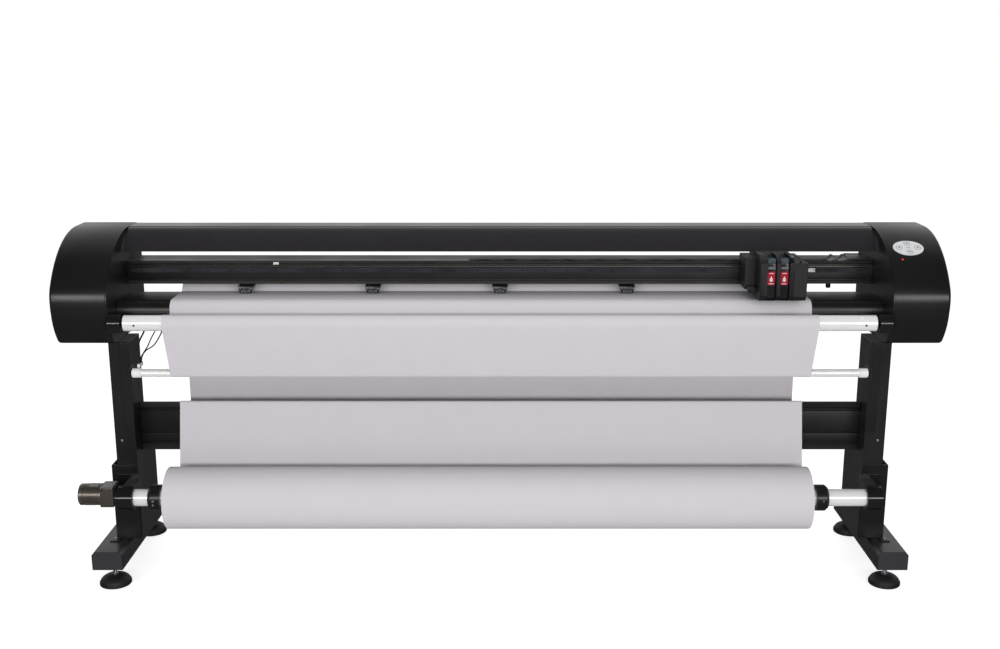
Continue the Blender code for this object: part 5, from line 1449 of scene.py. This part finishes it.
def rear_web():
    """Side view of the web from the roll over the cross beam, down in a slack loop and up to the platen."""
    lift = CLEAR + settings("web").paper / 2
    roll_at, roll_radius = axis_of("paper_roll")[:2]
    beam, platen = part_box("cross_beam"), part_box("platen")
    front, rear, beam_top = beam[0].y, beam[1].y, beam[1].z
    edge, bed = platen[1].y, platen[1].z
    behind, loop_z, lip = edge + 25.5 * MM, beam_top - 75 * MM, 4 * MM
    on_roll = arc((roll_at.y, roll_at.z), roll_radius + lift, -40, -11, 10)
    over_front = arc((front + lip, beam_top - lip), 1.5 * lip + lift, 168, 95, 10)
    over_rear = arc((rear - 6 * MM, beam_top - 37.5 * MM), 20 * MM + lift, 75, 5, 12)
    middle, half = (rear + 14 * MM + behind) / 2, (behind - rear - 14 * MM) / 2
    loop = arc((middle, loop_z), half, 180, 360, 20)
    hump = [(behind, bed - 10 * MM), (behind, bed - 6 * MM), (behind + 0.5 * MM, bed + 11 * MM)]
    hump += [(behind - 6 * MM, bed + 19 * MM), (edge + 10 * MM, bed + 12.5 * MM)]
    hump += [(edge + 2.5 * MM, bed + 2 * CLEAR + settings("web").paper / 2 + 0.4 * MM)]
    web = [(on_roll, 0), ([on_roll[-1], over_front[0]], 1), (over_front, 0)]
    web += [([over_front[-1], over_rear[0]], 0), (over_rear, 0), ([over_rear[-1], loop[0]], 0.4)]
    return web + [(loop, 0.6), ([loop[-1], hump[0]], 1), (smooth_path(hump, 6), 0)]


class WebOperator(bpy.types.Operator):
    """Lays the two stretches of the paper web over the platen, the guide tube, the bar and the cross beam"""

    bl_idname = "cutter.web"
    bl_label = "Paper web"

    def execute(self, context):
        for name, sections, rests in (
            ("paper_front", front_web(), ("platen", "guide_tube", "tension_bar_tube")),
            ("paper_rear", rear_web(), ("cross_beam", "paper_roll_wound")),
        ):
            low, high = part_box(name)
            rows, run = web_rows(sections, low.x, high.x)
            obj = piece(f"{name}_sheet", slab(rows, settings("web").paper), plotting_paper(), "frame",
                        "white_paper", (name,), angle=60)
        return {"FINISHED"}


# ================================================================ the stand
class StandOperator(bpy.types.Operator):
    """Builds the legs, the foot beams with their end plates, and the levelling feet"""

    bl_idname = "cutter.stand"
    bl_label = "Stand"

    def execute(self, context):
        for side, way in SIDES:
            leg_pieces(side, way)
            foot_beam(side)
            for end in ENDS:
                levelling_foot(f"levelling_foot_{end}_{side}")
        return {"FINISHED"}


def leg_pieces(side, way):
    """A pressed leg, its cable cover and screws in front, its foot bracket and the cross beam's bolts."""
    group = settings("stand")
    refined(f"leg_{side}", powder_coated_steel(), "frame", "black_powder_coat", group.edge, 3)
    low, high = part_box(f"leg_{side}")
    inner = max(abs(low.x), abs(high.x)) - LEG_WIDTH
    cross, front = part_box("cross_beam"), LEG_FRONT_Y
    near, far = sorted((way * (inner - MM), way * (inner + 27 * MM)))
    cover = prism(rounded((near, cross[0].z + 75 * MM), (far, high.z - 4 * MM), 2 * MM), front - 5 * MM,
                  front + 0.5 * MM, "Y")
    piece(f"leg_{side}_cable_cover", cover, powder_coated_steel(), "frame", "black_powder_coat",
          bevel=1.5 * MM, segments=3)
    x = way * (inner + 39 * MM)
    screws(f"leg_{side}_screws", (x, front + 0.1 * MM, cross[0].z + 48 * MM), (x, front + 0.1 * MM, 0.165), 2,
           3.6 * MM, 2 * MM, "frame", "bright_steel", "Y", -1, zinc_plated_steel())
    outer, skin = inner + 74 * MM, 4 * MM
    back, sleeve_height = front + 0.07, 0.225
    wrap = [(inner + 2 * MM, front - skin), (outer, front - skin), (outer, back), (outer - skin, back)]
    wrap += [(outer - skin, front - 0.3 * MM), (inner + 2 * MM, front - 0.3 * MM)]
    sleeve = prism([(way * a, b) for a, b in wrap], low.z, low.z + sleeve_height, "Z")
    near, far = sorted((way * (outer - 14 * MM), way * (outer + 12 * MM)))
    tab = block((near, front - 0.032, low.z), (far, front - skin + MM, low.z + 3 * MM))
    piece(f"leg_{side}_foot_sleeve", joined(sleeve, tab), powder_coated_steel(), "frame", "black_powder_coat",
          bevel=0.8 * MM, segments=3)
    spot = (way * (outer - MM), front - 0.020, low.z + 2.8 * MM)
    screws(f"leg_{side}_foot_screws", spot, spot, 1, 5 * MM, 4 * MM, "frame", "bright_steel",
           material=zinc_plated_steel())
    x = way * (inner + 4.2 * MM)
    for row, height in (("upper", cross[1].z - 30 * MM), ("lower", cross[0].z + 30 * MM)):
        ends = (x, cross[0].y + 16 * MM, height), (x, cross[1].y - 16 * MM, height)
        screws(f"cross_beam_bolts_{row}_{side}", *ends, 2, 6 * MM, 5 * MM, "frame", "bright_steel", "X", way)


def foot_beam(side):
    """Square tube with chamfered top edges and a rounded end plate, open for the two stems."""
    group = settings("stand")
    node = f"foot_beam_{side}"
    low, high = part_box(node)
    x, half, height = (low.x + high.x) / 2, (high.x - low.x) / 2, high.z - low.z
    chamfer, plate, wall = group.chamfer, 2 * MM, 4 * MM

    def section(inwards, y):
        corners = [(-half + inwards, inwards), (half - inwards, inwards), (half - inwards, height - chamfer)]
        corners += [(half - chamfer, height - inwards), (-half + chamfer, height - inwards)]
        corners.append((-half + inwards, height - chamfer))
        return [(x + a, y, low.z + b) for a, b in corners]

    shell = loft([section(0, low.y + plate), section(0, high.y), section(wall, high.y),
                  section(wall, low.y + plate + wall)])
    holes = []
    for end in ENDS:
        one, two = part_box(f"levelling_foot_{end}_{side}")
        spot = ((one.x + two.x) / 2, (one.y + two.y) / 2, low.z)
        holes.append(turned(washer(0, 6.4 * MM, -10 * MM, 10 * MM), spot, "Z", 24))
    piece(f"{node}_tube", shell, powder_coated_steel(), "frame", "black_powder_coat", (node,), tools=holes,
          bevel=group.edge, segments=3)
    cap = loft([section(0.8 * MM, low.y), section(0.8 * MM, low.y + plate - 0.1 * MM)])
    piece(f"{node}_end_plate", cap, moulded_polypropylene(), "frame", "black_moulding", bevel=0.7 * MM,
          segments=3)
    plug = loft([section(wall + 0.3 * MM, high.y - 6 * MM), section(wall + 0.3 * MM, high.y - MM)])
    piece(f"{node}_rear_plug", plug, moulded_abs(), "frame", "black_moulding", bevel=0.7 * MM, segments=3)


def levelling_foot(node):
    """Rubber foot with grip ribs round its skirt, and its threaded stem with the lock nut."""
    group = settings("stand")
    low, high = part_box(node)
    centre = Vector(((low.x + high.x) / 2, (low.y + high.y) / 2, 0))
    radius, stem, dome_top = (high.x - low.x) / 2, 6 * MM, 30 * MM
    neck = stem * 1.7
    profile = [(0, 0.4 * MM), (radius - 2 * MM, 0.4 * MM), (radius - 1.2 * MM, 0.9 * MM)]
    for a, z in arc((0, 0), 1, 0, 84, 12):
        profile.append((neck + (radius - 2.4 * MM - neck) * a, 9 * MM + 20 * MM * z))
    profile += [(neck, dome_top), (0, dome_top)]
    piece(f"{node}_pad", turned(profile, centre, "Z", 72), foot_rubber(), node, "foot_pad", (node,), angle=50)
    rib = prism([(radius - 1.6 * MM, 1.5 * MM), (radius - 0.1 * MM, 2 * MM), (radius - 0.3 * MM, 9 * MM),
                 (radius - 5 * MM, 17 * MM), (radius - 8 * MM, 16 * MM)], -0.9 * MM, 0.9 * MM, "Y")
    repeated(f"{node}_ribs", ring_tree(), rib, foot_rubber(), node, "foot_pad", Count=group.foot_ribs,
             Centre=centre, Axis=(0, 0, 1))
    sides, per_turn, pitch = 16, 4, group.thread_pitch
    rings = []
    steps = int((high.z - dome_top) / pitch * per_turn)
    for i in range(steps + 1):
        z = dome_top + pitch * i / per_turn
        ring = []
        for k in range(sides):
            angle = 2 * math.pi * k / sides
            depth = 0.45 * MM * (0.5 + 0.5 * math.cos(angle - 2 * math.pi * i / per_turn))
            r = stem - 0.02 * MM - depth
            ring.append((centre.x + r * math.cos(angle), centre.y + r * math.sin(angle), z))
        rings.append(ring)
    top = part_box("foot_beam_left")[0].z - CLEAR
    thread = stem - 0.6 * MM
    profile = [(thread, top - stem), (stem * 1.5, top - stem), (stem * 1.78, top - stem + 0.9 * MM)]
    profile += [(stem * 1.78, top - 0.9 * MM), (stem * 1.5, top), (thread, top)]
    nut = turned(profile, centre, "Z", 6)
    profile = [(0, dome_top - MM), (neck - 0.6 * MM, dome_top - MM), (neck - 0.6 * MM, dome_top + 1.6 * MM)]
    profile += [(neck - 1.6 * MM, dome_top + 2.4 * MM), (0, dome_top + 2.4 * MM)]
    whole = joined(loft(rings), nut, turned(profile, centre, "Z", 32))
    piece(f"{node}_stem", whole, zinc_plated_steel(), node, "bright_steel", angle=30)


# ================================================================ keypad and electrics
class KeypadOperator(bpy.types.Operator):
    """Builds the oval keypad with its four arrow keys, and the signal lamp under it"""

    bl_idname = "cutter.keypad"
    bl_label = "Keypad"

    def execute(self, context):
        refined("keypad_panel", keypad_overlay(), "frame", "keypad_white", 0.4 * MM)
        low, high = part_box("keypad_panel")
        matrix = crown_frame((low.x + high.x) / 2, KEYPAD_ANGLE)
        arrow = mm((-4.2, -2.6), (0, -1.2), (4.2, -2.6), (0, 3.4))
        places = {"up": (0, KEY_SPREAD * 0.7, 0), "down": (0, -KEY_SPREAD * 0.7, math.pi)}
        places.update({"left": (-KEY_SPREAD, 0, math.pi / 2), "right": (KEY_SPREAD, 0, -math.pi / 2)})
        for word, (x, y, turn) in places.items():
            node = f"key_{word}"
            refined(node, keypad_overlay(), node, "key_grey", 0.5 * MM, 3)
            spot = matrix @ Matrix.Translation((x, y, 2.1 * MM)) @ Matrix.Rotation(turn, 4, "Z")
            shape = moved(prism(arrow, 0, 0.25 * MM, "Z"), spot)
            piece(f"{node}_arrow", shape, printed_grey(), node, "key_grey")
        radius, line, under, over = 8.6 * MM, 0.35 * MM, 0.9 * MM, 1.15 * MM
        circle = washer(radius - line, radius + line, under, over)
        rings = [moved(turned(circle, (x, y, 0), "Z", 40), matrix) for x, y, _ in places.values()]
        outline = rounded((-5 * MM, -0.9 * MM), (5 * MM, 0.9 * MM), 0.8 * MM, 3)
        dash = moved(prism(outline, under, over, "Z"), matrix)
        piece("keypad_print", joined(dash, *rings), printed_grey(), "frame", "key_grey")
        spot = crown_frame(LAMP_X, LAMP_ANGLE)
        lens = mm((0, -3), (2.3, -3), (2.3, 0), (1.9, 0.7), (1, 1.1), (0, 1.25))
        shape = moved(turned(lens, (0, 0, 0), "Z", 28), spot)
        piece("signal_lamp_lens", shape, glowing_lamp(), "frame", "keypad_white", angle=60)
        bezel = mm((2.35, -2), (2.65, -2), (2.65, 0.1), (3.3, 0.1), (3.1, 0.6), (2.35, 0.6))
        shape = moved(turned(bezel, (0, 0, 0), "Z", 28), spot)
        piece("signal_lamp_bezel", shape, moulded_abs(), "frame", "black_moulding")
        return {"FINISHED"}


class ElectricsOperator(bpy.types.Operator):
    """Finishes the appliance inlet, the electronics case and the feed motor"""

    bl_idname = "cutter.electrics"
    bl_label = "Electrics"

    def execute(self, context):
        refined("power_inlet", moulded_abs(), "frame", "black_moulding", 0.6 * MM, 3)
        low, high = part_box("power_inlet")
        x, z = (low.x + high.x) / 2, (low.z + high.z) / 2
        rear = high.y - 2 * MM
        pins = []
        for dx, dz in mm((-7, -1.5), (0, 1.5), (7, -1.5)):
            start = (x + dx - MM, rear - 16.5 * MM, z + dz - 2 * MM)
            pins.append(block(start, (x + dx + MM, rear - 3 * MM, z + dz + 2 * MM)))
        piece("power_inlet_pins", joined(*pins), zinc_plated_steel(), "frame", "bright_steel", bevel=0.3 * MM)
        y = high.y - 0.2 * MM
        screws("power_inlet_screws", (low.x + 5 * MM, y, z), (high.x - 5 * MM, y, z), 2, 2.2 * MM, 0.2 * MM,
               "frame", "bright_steel", "Y")
        refined("control_box", zinc_plated_steel(), "frame", "case_steel", 0.4 * MM)
        low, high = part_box("feed_motor")
        axis, radius = axis_of("feed_roller")[0], 21 * MM
        motor_body("feed_motor", (low.x, axis.y - radius, axis.z - radius),
                   (high.x - 4 * MM, axis.y + radius, axis.z + radius), "X")
        foot = block((high.x - 10 * MM, axis.y - radius, low.z),
                     (high.x, axis.y + radius, axis.z - radius + 2 * MM))
        piece("feed_motor_foot", foot, powder_coated_steel(), "frame", "motor_metal", bevel=0.6 * MM)
        return {"FINISHED"}


# ================================================================ the add-on
GROUPS = {
    "stage": StageSettings,
    "colours": ColourSettings,
    "head": HeadSettings,
    "web": WebSettings,
    "stand": StandSettings,
    "drive": DriveSettings,
}
OPERATORS = (
    StageOperator, HousingOperator, LidOperator, BeamOperator, FeedOperator, CarriageOperator,
    CartridgeOperator, DriveOperator, LeadOperator, TubeOperator, TakeupOperator, WebOperator, StandOperator,
    KeypadOperator, ElectricsOperator,
)


class CutterPanel(bpy.types.Panel):
    """Lists the pieces of the printer cutter and their sizes"""

    bl_idname = "VIEW3D_PT_cutter"
    bl_label = "Printer cutter"
    bl_space_type = "VIEW_3D"
    bl_region_type = "UI"
    bl_category = "Printer cutter"

    def draw(self, context):
        for operator in OPERATORS:
            self.layout.operator(operator.bl_idname)
        for name, group in GROUPS.items():
            box = self.layout.box()
            for key in group.__annotations__:
                box.prop(settings(name), key)


def register():
    for kind in (*GROUPS.values(), *OPERATORS, CutterPanel):
        bpy.utils.register_class(kind)
    for name, group in GROUPS.items():
        setattr(bpy.types.Scene, f"cutter_{name}", PointerProperty(type=group))


def unregister():
    for name in GROUPS:
        delattr(bpy.types.Scene, f"cutter_{name}")
    for kind in (CutterPanel, *OPERATORS, *GROUPS.values()):
        bpy.utils.unregister_class(kind)


def main():
    register()
    for operator in OPERATORS:
        getattr(bpy.ops.cutter, operator.bl_idname.split(".")[1])()
    plain = [name for name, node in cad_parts.items() if not node.hide_render]
    if plain:
        raise RuntimeError(f"these CAD nodes have no finished piece: {plain}")


if __name__ == "__main__":
    main()
